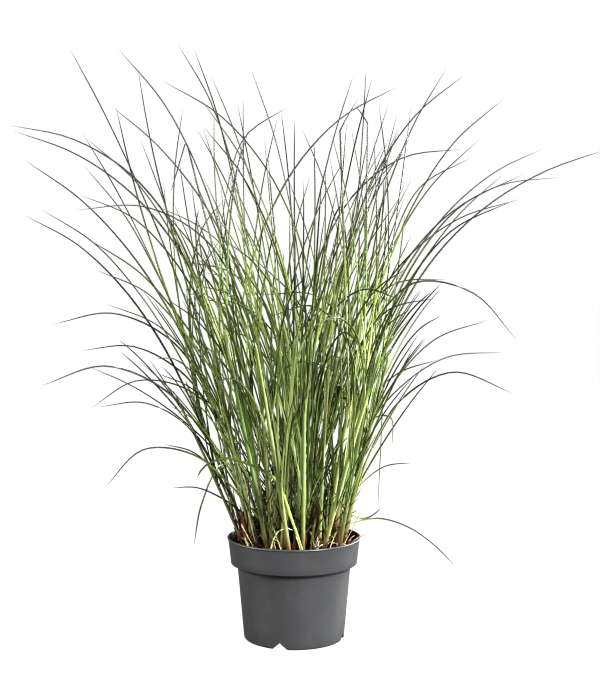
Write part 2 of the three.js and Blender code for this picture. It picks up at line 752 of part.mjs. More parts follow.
function makeDead(row) {
  const radius = row[2];
  const { foot, top } = deadAxis(row);
  const neck = foot.clone().lerp(top, 0.7);
  const ends = levelRing(top, radius * 0.75, DEAD_SIDES);
  ends.forEach((point, i) => point.setZ(point.z - radius * BROKEN_SLANT * (i % 3)));
  return toSolid(
    skin([levelRing(foot, radius, DEAD_SIDES), levelRing(neck, radius * 1.1, DEAD_SIDES), ends]),
  );
}

function deadHole(row) {
  const { foot, top } = deadAxis(row);
  const rise = top.clone().sub(foot);
  return holeAlong(foot, foot.clone().addScaledVector(rise, 24 / rise.z), 1.1 * row[2]);
}

function makeSoil(shoots, dead) {
  const centre = (z) => new THREE.Vector3(0, 0, z);
  const edgeRadius = innerRadiusAt(SOIL_TOP - SOIL_FALL) - SOIL_GAP;
  const bedZ = FLOOR + CLEARANCE;
  const wallRing = (z) => levelRing(centre(z), innerRadiusAt(z) - SOIL_GAP, SOIL_SIDES);
  const topRings = [...SOIL_RINGS].reverse().map((radius) => {
    const fall = SOIL_FALL * (radius / edgeRadius) ** 2;
    const ring = levelRing(centre(SOIL_TOP - fall), radius, SOIL_SIDES);
    ring.forEach((point) => point.setZ(point.z + between(-SOIL_BUMP, SOIL_BUMP)));
    return ring;
  });
  const rings = [
    wallRing(bedZ),
    wallRing(ledgeFootZ),
    wallRing(collarFootZ),
    wallRing(SOIL_TOP - SOIL_FALL),
    ...topRings,
    [centre(SOIL_TOP)],
  ];
  let soil = toSolid(skin(rings));
  for (const shoot of shoots) soil = soil.subtract(shootHole(shoot));
  for (const row of dead) soil = soil.subtract(deadHole(row));
  return soil;
}

// The whole plant

function growShoots(dead) {
  const standing = dead.map(([x, y]) => ({ x, y }));
  const feet = placeFeet(standing);
  turnClear(feet, dead);
  const shoots = feet.map((foot, number) => ({
    foot,
    topZ: stemTopZ(number + 1),
    leaves: [],
  }));
  addSeenLeaves(shoots);
  addFoldedLeaves(shoots);
  addGrownLeaves(shoots);
  return shoots;
}

function spaceOut(shoots, dead) {
  const chains = [];
  for (const shoot of shoots) {
    const stem = stemLevels(shoot.topZ);
    chains.push({
      shoot,
      fixed: true,
      points: stem.map((z) => stemPoint(shoot.foot, z)),
      widths: stem.map((z) => 2 * stemRadius(z, shoot.topZ)),
    });
    for (const leaf of shoot.leaves) {
      leaf.shoot = shoot;
      leaf.widths = leafWidths(leaf.points.length, between(LEAF_WIDTH.least, LEAF_WIDTH.most));
      leaf.twist = { start: between(-0.5, 0.5), turn: between(-1.6, 1.6) };
      chains.push(leaf);
    }
  }
  for (const row of dead) {
    const { foot, top } = deadAxis(row);
    const width = 2.2 * row[2];
    chains.push({ shoot: row, fixed: true, points: [foot, top], widths: [width, width] });
  }
  const links = bendClear(chains, 260);
  const kept = new Set(dropTouching(chains, links));
  for (const shoot of shoots) shoot.leaves = shoot.leaves.filter((leaf) => kept.has(leaf));
}

const dead = [...STUBS, ...STRAWS];
const shoots = growShoots(dead);
spaceOut(shoots, dead);

const group = new THREE.Group();

function place(name, solid, material) {
  const mesh = new THREE.Mesh(toGeometry(solid), material);
  mesh.name = name;
  group.add(mesh);
}

const numbered = (word, index) => `${word}_${String(index + 1).padStart(2, "0")}`;

place("pot", makePot(), PLASTIC);
place("soil", makeSoil(shoots, dead), EARTH);
shoots.forEach((shoot, i) => place(numbered("shoot", i), makeShoot(shoot), GREEN));
STUBS.forEach((row, i) => place(numbered("dead_stub", i), makeDead(row), BROWN));
STRAWS.forEach((row, i) => place(numbered("dead_straw", i), makeDead(row), STRAW));

export default group;
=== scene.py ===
import collections
import itertools
import math
import random

import bmesh
import bpy
import numpy as np
from mathutils import Matrix, Vector, noise


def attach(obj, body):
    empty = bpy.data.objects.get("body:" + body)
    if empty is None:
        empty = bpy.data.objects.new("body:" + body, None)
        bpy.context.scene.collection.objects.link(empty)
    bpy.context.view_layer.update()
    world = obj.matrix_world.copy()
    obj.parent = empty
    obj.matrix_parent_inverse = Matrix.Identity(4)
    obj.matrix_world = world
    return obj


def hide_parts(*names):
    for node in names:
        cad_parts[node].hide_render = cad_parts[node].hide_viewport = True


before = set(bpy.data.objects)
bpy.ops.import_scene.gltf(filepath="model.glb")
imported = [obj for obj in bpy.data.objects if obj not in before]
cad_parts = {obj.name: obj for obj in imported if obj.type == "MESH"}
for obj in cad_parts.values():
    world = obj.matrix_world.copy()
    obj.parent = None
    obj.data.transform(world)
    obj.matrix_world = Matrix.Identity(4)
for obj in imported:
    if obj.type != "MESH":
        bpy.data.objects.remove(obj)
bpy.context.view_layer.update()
scene = bpy.context.scene

MM = 0.001
UP = np.array([0.0, 0.0, 1.0])
AWAY = np.array([0.0, 1.0, 0.0])

# Pot, in mm
RIM_RADIUS = 85.0
POT_HEIGHT = 130.0
COLLAR_FOOT_RADIUS = 80.5
COLLAR_FOOT_Z = 98.0
LEDGE_FOOT_Z = 92.5
BODY_TOP_RADIUS = 72.0
BASE_RADIUS = 64.0
WALL = 1.6
POT_SIDES = 144
NOTCH_COUNT = 4
NOTCH_FIRST_ANGLE = -106.0
NOTCH_WIDTH = 20.5
NOTCH_HEIGHT = 8.8
NOTCH_APEX = 4.0
RECESS = 10.0
FLOOR = 12.0
FOOT_WIDTH = 8.0
PAD_RADIUS = 14.0

# Soil, in mm
SOIL_TOP = 122.0
CRUMB_COUNT = 2600
PERLITE_COUNT = 34
BARK_COUNT = 90
SOIL_EDGE = 80.6
SOIL_SIDES = 120
SOIL_RINGS = 56
SCATTER_REACH = 79.0
LUMP_SINK = 0.35
LUMP_ROUGHNESS = 0.32

# Stems, in mm, as the frame's shoots stand
FOOT_Z = 100.0
HOLE_TOP_Z = 140.0
STEM_FOOT_RADIUS = 2.2
STEM_TOP_RADIUS = 1.3
STEM_LEAST_HEIGHT = 175.0
STEM_HEIGHT_SPREAD = 95.0
LEAN_GROWTH = 0.00035
STEM_TIP = 12.0
STEM_SIDES = 12
STEM_FULLNESS = 1.38
STEM_SWELL = 0.25
STEM_SWELL_LENGTH = 7.0

# Leaves, in mm and radians
LEAF_STATIONS = 30
FINE_STATIONS = 20
CHANNEL_DEPTH = 0.55
FOOT_CHANNEL_DEPTH = 0.15
BLADE_THICKNESS = 0.32
MIDRIB_WIDTH = 0.45
LEAF_NARROWING = (0.52, 0.75)
LEAST_WIDTH = 1.45
UNDER_SHADE = (0.70, 0.74, 0.60)
LEAF_TWIST = (0.3, 0.9)
TWIST_START = 0.15
TWIST_SPAN = 0.5
RIPPLE = 0.05
LEAF_ROOT_DEPTH = 9.0
LEAF_TINT = (0.1, 1.35)
LONG_REACH = 240.0
DULL_REACH = (100.0, 220.0)
# Painted shade on the outer and highest blades: where it starts, how it grows with height, its span, the
# height band and its strength
FAR_START = 62.0
FAR_GROWTH = {"left": 0.32, "right": 0.22}
FAR_SPAN = 45.0
FAR_HEIGHT = (475.0, 610.0)
FAR_STRENGTH = 1.25
FAR_LESS_BY_TINT = 0.35
FACING_FRONT = 3.0
# Tip of the blade that gets the painted highlight colour, as x and z in mm
PALE_ARCH = (-128.0, 116.0)
# pale is the share of fine leaves painted with the pale highlight colour
FineKind = collections.namedtuple("FineKind", "count feet out length spread droop width tint pale")
FINE_KINDS = [
    FineKind(1, (10, 240), (0.15, 0.55), (70, 260), (0.0, 0.7), (0.0, 0.3), (1.5, 2.2), 1.0, 0.05),
    FineKind(3, (2, 80), (0.2, 0.9), (30, 120), (0.0, 0.35), (0.0, 0.12), (1.4, 1.8), 0.15, 0.0),
]
FINE_TOP_Z = 735.0
CLUMP_EDGE = {"left": (48.0, 3.6, 0.6), "right": (76.0, 0.195, 1.0), "depth": (84.0, 0.34, 1.0)}
YOUNG_LEAVES = 130
YOUNG_REACH = 70
YOUNG_CENTRE = (12, 8)
YOUNG_SHARE = (0.75, 0.8)

# Dead sheaths and dry litter, in mm, most of it in a few bundles. Litter stays inside the rim, or else
# ends above it.
SHEATH_THICKNESS = 0.22
LITTER_REACH = 78.0
LITTER_CLEARANCE = 8.0
Litter = collections.namedtuple("Litter", "count centre reach length width lean droop")
STRAW_LITTER = {
    "dry_scraps": Litter(60, (0, 0), 74, (8, 34), (0.8, 2.0), (0.2, 1.6), 1.4),
    "straws_left": Litter(5, (-56, -14), 8, (16, 36), (0.7, 1.1), (0.1, 0.5), 0.4),
    "straws_right": Litter(8, (64, -6), 9, (8, 17), (0.9, 1.6), (0.1, 0.5), 0.4),
    "loops_right": Litter(12, (60, -26), 9, (24, 44), (0.8, 1.2), (0.3, 1.0), 3.2),
    "broken_stub_end": Litter(7, (27, -40), 3, (12, 30), (2.2, 3.6), (0.0, 0.2), 0.2),
}
BROWN_LITTER = {
    "brown_scraps": Litter(70, (0, 0), 74, (8, 30), (1.0, 2.4), (0.2, 1.6), 1.4),
    "brown_sheaths": Litter(260, (0, 12), 54, (16, 52), (1.4, 3.6), (0.02, 0.35), 1.4),
    "sheaths_left": Litter(26, (-54, -4), 12, (22, 58), (2.0, 4.0), (0.02, 0.25), 0.3),
    "sheaths_round_stub": Litter(22, (21, -36), 7, (30, 64), (2.4, 4.4), (0.0, 0.12), 0.2),
}

# Small blades before the clump: width, tint and the places they pass through, in mm. A tint above 1 paints
# a blade with the pale highlight colour.
FRONT_BLADES = [
    (1.7, 2.0, (-28, -68, 128), (-25, -68, 140), (-18, -67, 150), (-8, -66, 153), (-1, -64, 150)),
    (2.6, 1.7, (-56, -40, 121), (-58, -44, 128), (-60, -48, 134), (-61, -50, 140)),
    (4.4, 0.95, (14, -70, 118), (-4.8, -84, 175.6), (-20.5, -89, 216.7), (-53, -90, 236),
     (-83.4, -90, 243.8), (-107.5, -90, 233.6), (-117, -90, 219)),
    (1.8, 1.2, (-14, -66, 122), (-18, -70, 134), (-22, -74, 145), (-26, -75, 158)),
]

# Which corners of a blade's section lie on its underside
UNDERSIDE = [0.0] * 7 + [1.0] * 3

# Camera: the photograph is 600 by 683 pixels
PHOTO_WIDTH = 600
PHOTO_HEIGHT = 683
EYE = (0.0, -1.660, 0.480)
EYE_PITCH = 3.5
FOCAL_PX = 1315.0
POT_AXIS_PX = 294.0
SENSOR_HEIGHT = 36.0
AMBIENT = 1.15
LIGHT_GAIN = 1.5
FILM_GAMMA = 0.80
FILM_FILTER = 1.2
SKY = [(0.3, 0.20), (0.5, 0.15), (0.9, 0.30)]
FLOOR_GLOW = 0.99
FLOOR_HALF = 12.0
FLOOR_LEVEL = -0.0004


# Node trees

class NodeKit:
    """Short ways to add nodes to a tree. Most of them return the new node's output."""

    def __init__(self, tree):
        self.nodes = tree.nodes
        self.links = tree.links

    def add(self, kind, **values):
        node = self.nodes.new(kind)
        for key, value in values.items():
            setattr(node, key, value)
        return node

    def feed(self, socket, value):
        """Gives a socket a number or a colour of its own, or the output of another node."""
        if isinstance(value, (int, float)):
            socket.default_value = value
        elif isinstance(value, tuple):
            socket.default_value = (*value, 1.0)
        else:
            self.links.new(value, socket)

    def attribute(self, name):
        return self.add("ShaderNodeAttribute", attribute_name=name).outputs["Fac"]

    def ramp(self, factor, stops):
        """A colour ramp from stops of (place, colour), where a single number stands for a grey."""
        node = self.add("ShaderNodeValToRGB")
        elements = node.color_ramp.elements
        while len(elements) < len(stops):
            elements.new(0.5)
        for element, (place, colour) in zip(elements, stops):
            element.position = place
            element.color = (*colour, 1.0) if isinstance(colour, tuple) else (colour, colour, colour, 1.0)
        self.feed(node.inputs["Fac"], factor)
        return node.outputs["Color"]

    def calculate(self, operation, *values):
        node = self.add("ShaderNodeMath", operation=operation)
        for socket, value in zip(node.inputs, values):
            self.feed(socket, value)
        return node.outputs[0]

    def mix(self, factor, first, second, blend="MIX"):
        node = self.add("ShaderNodeMix", data_type="RGBA", blend_type=blend)
        for index, value in ((0, factor), (6, first), (7, second)):
            self.feed(node.inputs[index], value)
        return node.outputs[2]

    def shaded(self, colour, factor, stops):
        """A colour multiplied by a ramp."""
        return self.mix(1.0, colour, self.ramp(factor, stops), "MULTIPLY")

    def noise(self, scale, detail, stretch=(1.0, 1.0, 1.0)):
        """Noise that is fixed to the object, with its own scale along each axis."""
        mapping = self.add("ShaderNodeMapping")
        mapping.inputs["Scale"].default_value = stretch
        self.links.new(self.add("ShaderNodeTexCoord").outputs["Object"], mapping.inputs["Vector"])
        node = self.add("ShaderNodeTexNoise")
        node.inputs["Scale"].default_value = scale
        node.inputs["Detail"].default_value = detail
        self.links.new(mapping.outputs["Vector"], node.inputs["Vector"])
        return node.outputs["Fac"]


class Look(NodeKit):
    """A new material, whose relief, colour and gloss are set last."""

    def __init__(self, name):
        self.material = bpy.data.materials.new(name)
        self.material.use_nodes = True
        super().__init__(self.material.node_tree)
        self.shader = self.nodes["Principled BSDF"]

    def relief(self, height, strength, distance):
        node = self.add("ShaderNodeBump")
        node.inputs["Strength"].default_value = strength
        node.inputs["Distance"].default_value = distance
        self.links.new(height, node.inputs["Height"])
        self.links.new(node.outputs["Normal"], self.shader.inputs["Normal"])

    def complete(self, colour, roughness, specular=0.5):
        self.feed(self.shader.inputs["Base Color"], colour)
        self.feed(self.shader.inputs["Roughness"], roughness)
        self.shader.inputs["Specular IOR Level"].default_value = specular
        return self.material


# Materials

def leaf_material():
    """Green blades: fresh below, dull and grey-brown at the tip, with a pale midrib and fine veins.
    Painted light on them: one half of the fold painted lighter than the other, a painted highlight that
    turns some blades pale, and painted shade on the outer blades.
    """
    look = Look("leaf_green")
    along = look.attribute("along")
    spread = look.calculate("ABSOLUTE", look.attribute("across"))
    tint = look.attribute("tint")
    fresh = look.ramp(along, [
        (0.0, (0.265, 0.280, 0.140)),
        (0.30, (0.222, 0.268, 0.104)),
        (0.50, (0.140, 0.180, 0.048)),
        (0.68, (0.070, 0.090, 0.021)),
        (0.84, (0.050, 0.056, 0.014)),
        (1.0, (0.026, 0.024, 0.015)),
    ])
    dull = look.ramp(along, [
        (0.0, (0.048, 0.064, 0.006)),
        (0.35, (0.027, 0.043, 0.003)),
        (0.60, (0.017, 0.024, 0.003)),
        (0.80, (0.017, 0.016, 0.008)),
        (1.0, (0.020, 0.018, 0.013)),
    ])
    base = look.mix(tint, dull, fresh)
    # Painted highlight: a tint above 1 turns a blade pale, for light caught on its pale underside and
    # midrib.
    painted_highlight_share = look.ramp(look.calculate("SUBTRACT", tint, 1.0), [(0.0, 0), (1.0, 1)])
    base = look.mix(painted_highlight_share, base, (0.37, 0.41, 0.25))
    base = look.shaded(base, look.attribute("hue"), [(0.0, (0.84, 1.02, 0.9)), (1.0, (1.11, 0.98, 1.1))])
    patches = look.noise(22.0, 4.0)
    base = look.shaded(base, patches, [(0.3, (0.85, 0.86, 0.82)), (0.7, (1.14, 1.10, 1.08))])
    veins = look.calculate("SINE", look.calculate("MULTIPLY", spread, 34.0))
    base = look.shaded(base, veins, [(0.35, (0.88, 0.9, 0.9)), (0.9, (1.08, 1.06, 1.06))])
    # Painted light and shade: one half of each blade's fold is painted darker and the other lighter, as if
    # lit from one side.
    fold_painted_light = look.attribute("side")
    base = look.shaded(base, fold_painted_light, [(0.42, (0.74, 0.77, 0.68)), (0.58, (1.15, 1.12, 1.15))])
    base = look.shaded(base, look.attribute("under"), [(0.0, 1), (0.6, UNDER_SHADE)])
    rib = look.ramp(spread, [(0.06, 1), (0.16, 0)])
    rib_strength = look.calculate("MULTIPLY", rib, look.ramp(along, [(0.35, 0.45), (0.75, 0.1)]))
    base = look.mix(rib_strength, base, (0.36, 0.42, 0.20))
    # Painted shade: blades out of the clump's middle, high up and at the very tip are mixed towards
    # near-black grey, as backlit blades look; partly the dull grey-brown of old blades.
    base = look.mix(look.attribute("far"), base, (0.0205, 0.0198, 0.016))
    look.relief(veins, 0.25, 0.0001)
    return look.complete(base, 0.4, 0.12)


def stem_material():
    """Rolled leaf sheaths: pale and yellowish at the foot, with brown flecks, greener above, with one side
    painted lighter and the other darker as painted light and shade.
    """
    look = Look("stem_green")
    along = look.attribute("along")
    base = look.ramp(along, [
        (0.0, (0.090, 0.030, 0.012)),
        (0.05, (0.140, 0.088, 0.026)),
        (0.10, (0.192, 0.178, 0.068)),
        (0.20, (0.215, 0.222, 0.098)),
        (0.50, (0.210, 0.230, 0.094)),
        (1.0, (0.172, 0.206, 0.068)),
    ])
    base = look.shaded(base, look.attribute("tint"), [(0.0, (0.46, 0.52, 0.42)), (1.0, (0.92, 0.93, 1.0))])
    # Painted light and shade: one side of each stem painted darker, the other lighter, as if lit from that
    # side.
    base = look.shaded(base, look.attribute("side"), [(0.3, (0.5, 0.56, 0.42)), (0.62, (1.12, 1.1, 1.25))])
    base = look.shaded(base, look.attribute("hue"), [(0.0, (0.85, 1.02, 0.9)), (1.0, (1.15, 0.98, 1.1))])
    fibres = look.noise(1.0, 3.0, (900.0, 900.0, 26.0))
    base = look.shaded(base, fibres, [(0.35, (0.76, 0.80, 0.70)), (0.65, (1.12, 1.10, 1.10))])
    flecks = look.ramp(look.noise(1.0, 2.0, (260.0, 260.0, 60.0)), [(0.52, 0), (0.64, 1)])
    low = look.ramp(along, [(0.02, 1), (0.30, 0)])
    base = look.mix(look.calculate("MULTIPLY", low, flecks), base, (0.110, 0.042, 0.020))
    look.relief(fibres, 0.35, 0.0002)
    return look.complete(base, 0.4, 0.4)


def dead_material(name, dark, light, roughness):
    """Dry sheaths and straws, fibred along their length."""
    look = Look(name)
    fibres = look.noise(1.0, 4.0, (700.0, 700.0, 40.0))
    base = look.ramp(fibres, [(0.3, dark), (0.7, light)])
    base = look.shaded(base, look.noise(60.0, 3.0), [(0.3, (0.6, 0.55, 0.5)), (0.65, (1.1, 1.1, 1.1))])
    look.relief(fibres, 0.6, 0.0003)
    return look.complete(base, roughness, 0.12)


def soil_material():
    """Dark potting mix with reddish and grey grains."""
    look = Look("soil_dark")
    grains = look.noise(420.0, 6.0)
    base = look.ramp(grains, [
        (0.30, (0.003, 0.002, 0.002)),
        (0.55, (0.010, 0.006, 0.005)),
        (0.72, (0.036, 0.023, 0.015)),
    ])
    base = look.shaded(base, look.noise(70.0, 4.0), [(0.3, (0.55, 0.55, 0.6)), (0.7, (1.3, 1.15, 1.0))])
    look.relief(grains, 0.9, 0.0008)
    return look.complete(base, 0.95, 0.1)


def plain_grain_material(name, dark, light, scale):
    """Small hard bits in the soil, mottled between two colours."""
    look = Look(name)
    grains = look.noise(scale, 4.0)
    look.relief(grains, 0.5, 0.0003)
    return look.complete(look.ramp(grains, [(0.35, dark), (0.65, light)]), 0.85)


def pot_material():
    """Dark grey injection-moulded plastic: satin, finely grained, with faint dust and scuffs."""
    look = Look("pot_plastic")
    cloud = look.noise(14.0, 5.0)
    base = look.ramp(cloud, [(0.3, (0.0212, 0.0216, 0.0222)), (0.7, (0.0252, 0.0256, 0.0264))])
    dust = look.ramp(look.noise(90.0, 8.0), [(0.58, 0), (0.75, 0.30)])
    base = look.mix(dust, base, (0.042, 0.041, 0.039))
    scuffs = look.ramp(look.noise(1.0, 4.0, (40.0, 40.0, 420.0)), [(0.62, 0), (0.72, 0.18)])
    base = look.mix(scuffs, base, (0.046, 0.046, 0.047))
    look.relief(look.noise(900.0, 2.0), 0.12, 0.0002)
    return look.complete(base, look.ramp(cloud, [(0.3, 0.34), (0.7, 0.44)]), 0.35)


# Meshes

def object_from(name, vertices, faces, material, smooth=True):
    mesh = bpy.data.meshes.new(name)
    mesh.from_pydata([tuple(v) for v in vertices], [], faces)
    mesh.validate()
    mesh.polygons.foreach_set("use_smooth", [smooth] * len(mesh.polygons))
    mesh.materials.append(material)
    obj = bpy.data.objects.new(name, mesh)
    scene.collection.objects.link(obj)
    return obj


class Builder:
    """Collects tubes and blades into one mesh, with values at each vertex for the materials."""

    def __init__(self):
        self.vertices = []
        self.faces = []
        self.slots = []
        self.values = {key: [] for key in ("along", "across", "side", "tint", "hue", "under", "far")}

    def ring(self, points, along, across, tint, hue=0.5, under=None, far=0.0):
        start = len(self.vertices)
        count = len(points)
        self.vertices.extend(points)
        self.values["across"].extend(across)
        self.values["side"].extend([0.5 + 0.5 * value for value in across])
        self.values["under"].extend(under or [0.0] * count)
        for key, value in (("along", along), ("tint", tint), ("hue", hue), ("far", far)):
            self.values[key].extend([value] * count)
        return list(range(start, start + count))

    def join(self, ring, following, slot=0):
        count = len(ring)
        for i in range(count):
            j = (i + 1) % count
            self.faces.append((ring[i], ring[j], following[j], following[i]))
            self.slots.append(slot)

    def cap(self, ring, slot=0, backwards=False):
        self.faces.append(tuple(reversed(ring)) if backwards else tuple(ring))
        self.slots.append(slot)

    def tube(self, rings, slot=0):
        """Joins rings in turn and closes both ends."""
        for ring, following in zip(rings, rings[1:]):
            self.join(ring, following, slot)
        self.cap(rings[0], slot, backwards=True)
        self.cap(rings[-1], slot)

    def make(self, name, materials, smooth=True):
        obj = object_from(name, [v * MM for v in self.vertices], self.faces, materials[0], smooth)
        mesh = obj.data
        for material in materials[1:]:
            mesh.materials.append(material)
        mesh.polygons.foreach_set("material_index", self.slots)
        for key, values in self.values.items():
            mesh.attributes.new(key, "FLOAT", "POINT").data.foreach_set("value", values)
        return obj


def spline(points, count):
    """Even stations on a smooth curve through the points: (place, segment, share of it)."""
    extended = [2 * points[0] - points[1], *points, 2 * points[-1] - points[-2]]
    dense = []
    for i in range(1, len(extended) - 2):
        p0, p1, p2, p3 = extended[i - 1:i + 3]
        for k in range(16):
            t = k / 16
            place = 0.5 * (
                2 * p1 + (p2 - p0) * t
                + (2 * p0 - 5 * p1 + 4 * p2 - p3) * t * t
                + (3 * p1 - p0 - 3 * p2 + p3) * t ** 3
            )
            dense.append((place, i - 1 + t))
    dense.append((points[-1], len(points) - 1.0))
    lengths = [0.0]
    for (a, _), (b, _) in zip(dense, dense[1:]):
        lengths.append(lengths[-1] + float(np.linalg.norm(b - a)))
    stations = []
    for k in range(count):
        wanted = lengths[-1] * k / (count - 1)
        i = min(int(np.searchsorted(lengths, wanted, side="right")), len(dense) - 1)
        span = lengths[i] - lengths[i - 1]
        t = (wanted - lengths[i - 1]) / span if span > 1e-9 else 0.0
        place = dense[i - 1][0] * (1 - t) + dense[i][0] * t
        stations.append((place, dense[i - 1][1] * (1 - t) + dense[i][1] * t))
    return stations


def at_station(values, where):
    i = min(int(where), len(values) - 2)
    t = where - i
    return values[i] * (1 - t) + values[i + 1] * t


def unit(vector):
    return vector / max(float(np.linalg.norm(vector)), 1e-9)


def level_way(angle):
    return np.array([math.cos(angle), math.sin(angle), 0.0])


# Reading the leaves back from the frame

def solid_of(node):
    """Merged corners of a CAD node in mm, and the neighbours of each."""
    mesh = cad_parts[node].data
    mesh.calc_loop_triangles()
    places = np.empty(len(mesh.vertices) * 3)
    mesh.vertices.foreach_get("co", places)
    places = places.reshape(-1, 3) / MM
    corners = np.empty(len(mesh.loop_triangles) * 3, int)
    mesh.loop_triangles.foreach_get("vertices", corners)
    _, first, merged = np.unique(
        np.round(places * 200).astype(int), axis=0, return_index=True, return_inverse=True
    )
    neighbours = [set() for _ in first]
    for a, b, c in merged.ravel()[corners].reshape(-1, 3):
        neighbours[a] |= {b, c}
        neighbours[b] |= {a, c}
        neighbours[c] |= {a, b}
    for i, around in enumerate(neighbours):
        around.discard(i)
    return places[first], neighbours


def edges_and_keel(ring, places):
    """Orders a blade's ring as its two edges, which are furthest apart, and its keel."""
    pairs = itertools.combinations(ring, 2)
    left, right = max(pairs, key=lambda pair: np.linalg.norm(places[pair[0]] - places[pair[1]]))
    keel = next(i for i in ring if i not in (left, right))
    return left, right, keel


def leaves_of(places, neighbours):
    """Each leaf of a shoot from foot to tip, as a list of (middle, across, upwards, width)."""
    leaves = []
    for tip, around in enumerate(neighbours):
        if len(around) != 3 or min(np.linalg.norm(places[i] - places[tip]) for i in around) < 6:
            continue
        ring = sorted(around)
        seen = {tip, *ring}
        sections = [(places[tip], None, None, 0.0)]
        before = None
        while True:
            left, right, keel = edges_and_keel(ring, places)
            if before is not None and np.dot(places[left] - places[right], before) < 0:
                left, right = right, left
            span = places[left] - places[right]
            middle = (places[left] + places[right]) / 2
            width = float(np.linalg.norm(span))
            sections.append((middle, unit(span), unit(middle - places[keel]), width))
            before = span
            following = set().union(*(neighbours[i] for i in ring)) - seen
            seen |= following
            ring = sorted(following)
            if len(ring) != 3:
                break
            size = max(np.linalg.norm(places[a] - places[b]) for a, b in itertools.combinations(ring, 2))
            if size > 6.5 or np.linalg.norm(places[ring[0]] - middle) < 3:
                break
        leaving = np.mean([places[i] for i in following], axis=0)
        sections.append((leaving, sections[-1][1], sections[-1][2], 2.0))
        sections[0] = (places[tip], sections[1][1], sections[1][2], 0.0)
        leaves.append(sections[::-1])
    return leaves


def grown_rise(z):
    """A stem leans further out as it climbs."""
    return (z - FOOT_Z) * (1 + LEAN_GROWTH * max(0.0, z - HOLE_TOP_Z))


class Stem:
    """A shoot's stem: its foot and lean are read from the corners at its known heights."""

    def __init__(self, number, places):
        self.number = number
        self.top_z = SOIL_TOP + STEM_LEAST_HEIGHT + STEM_HEIGHT_SPREAD * ((number * 0.618) % 1)
        low = np.abs(places[:, 2] - FOOT_Z) < 0.05
        inside = np.hypot(places[:, 0], places[:, 1]) < COLLAR_FOOT_RADIUS
        self.foot = places[low & inside].mean(axis=0)
        self.lean = np.zeros(2)
        for z, reach in ((HOLE_TOP_Z, 40.0), (self.top_z, 9.0), (self.top_z + STEM_TIP, 5.0)):
            expected = self.point(z)[:2]
            level = places[np.abs(places[:, 2] - z) < 0.02]
            level = level[np.hypot(*(level[:, :2] - expected).T) < reach]
            if len(level):
                self.lean = (level.mean(axis=0)[:2] - self.foot[:2]) / grown_rise(z)

    def point(self, z):
        x, y = self.foot[:2] + self.lean * grown_rise(z)
        return np.array([x, y, z])

    def way(self, z):
        return unit(self.point(z + 5) - self.point(z))

    def radius(self, z):
        climb = min(1.0, max(0.0, (z - SOIL_TOP) / (self.top_z - SOIL_TOP)))
        return STEM_FOOT_RADIUS + (STEM_TOP_RADIUS - STEM_FOOT_RADIUS) * climb


# Grass

def add_blade(builder, sections, draw, stations=LEAF_STATIONS, tint=None, twist=0.0):
    """A channelled blade with a midrib, on a smooth curve through its sections."""
    middles, sides, aboves, widths = zip(*sections)
    tint = draw.betavariate(1.5, 1.5) if tint is None else tint
    hue = draw.random()
    wave = draw.uniform(0, 6.28)
    places = spline(middles, stations)
    rings = []
    for k, (place, where) in enumerate(places[:-1]):
        along = k / (stations - 1)
        way = unit(places[k + 1][0] - places[max(0, k - 1)][0])
        side = unit(at_station(sides, where))
        side = unit(side - way * float(np.dot(side, way)))
        above = np.cross(way, side)
        if np.dot(above, at_station(aboves, where)) < 0:
            above = -above
        turned = min(1.0, max(0.0, (along - TWIST_START) / TWIST_SPAN))
        angle = twist * turned * turned * (3 - 2 * turned)
        side, above = (
            side * math.cos(angle) + above * math.sin(angle),
            above * math.cos(angle) - side * math.sin(angle),
        )
        upright = unit(np.cross(way, AWAY))
        if np.dot(upright, side) < 0:
            upright = -upright
        side = unit(side + FACING_FRONT * outlying(place) * upright)
        side = unit(side - way * float(np.dot(side, way)))
        above = np.cross(way, side) * (1 if np.dot(np.cross(way, side), above) > 0 else -1)
        width = blade_width(widths, where)
        half = width / 2
        sink = (CHANNEL_DEPTH + FOOT_CHANNEL_DEPTH * max(0.0, 1 - along * 8)) * width
        rib = min(MIDRIB_WIDTH, 0.3 * width) / 2
        ripple = RIPPLE * width * math.sin(along * 40 + wave)
        thick = min(BLADE_THICKNESS, 0.25 * width)
        section = [
            (-half, ripple, -1.0),
            (-0.5 * half, -0.62 * sink, -0.5),
            (-rib, -sink, -0.1),
            (0.0, -0.9 * sink, 0.0),
            (rib, -sink, 0.1),
            (0.5 * half, -0.62 * sink, 0.5),
            (half, ripple, 1.0),
            (0.5 * half, -0.62 * sink - thick, 0.5),
            (0.0, -sink - 1.9 * thick, 0.0),
            (-0.5 * half, -0.62 * sink - thick, -0.5),
        ]
        points = [Vector(place + side * x + above * y) for x, y, _ in section]
        across = [a for _, _, a in section]
        # How much painted shade this ring gets, less on fresher blades
        far = outlying(place) * (FAR_STRENGTH - FAR_LESS_BY_TINT * min(1.0, tint))
        rings.append(builder.ring(points, along, across, tint, hue, UNDERSIDE, min(1.0, far)))
    # The tip gets the full painted shade
    tip = builder.ring([Vector(places[-1][0])], 1.0, [0.0], tint, hue, None, 1.0)[0]
    for ring, following in zip(rings, rings[1:]):
        builder.join(following, ring)
    builder.cap(rings[0])
    last = rings[-1]
    for i in range(len(last)):
        builder.faces.append((last[(i + 1) % len(last)], last[i], tip))
        builder.slots.append(0)


def outlying(place):
    """How far a place lies out of the middle of the clump, from 0 to 1, counted mostly sideways and with
    height; this sets the painted shade on the outer blades.
    """
    x, y, z = place
    green_reach = FAR_START + FAR_GROWTH["left" if x < 0 else "right"] * max(0.0, z - SOIL_TOP)
    out = (math.hypot(x, 0.5 * y) - green_reach) / FAR_SPAN
    up = (z - FAR_HEIGHT[0]) / (FAR_HEIGHT[1] - FAR_HEIGHT[0])
    return min(1.0, max(0.0, out, up))


def blade_width(widths, where):
    """Widths between the sections, with a last stretch that stays wide and then closes fast."""
    last = len(widths) - 2
    if where > last:
        return max(widths[last] * (1 - (where - last) ** 2.6), 0.5)
    return at_station(widths, where)


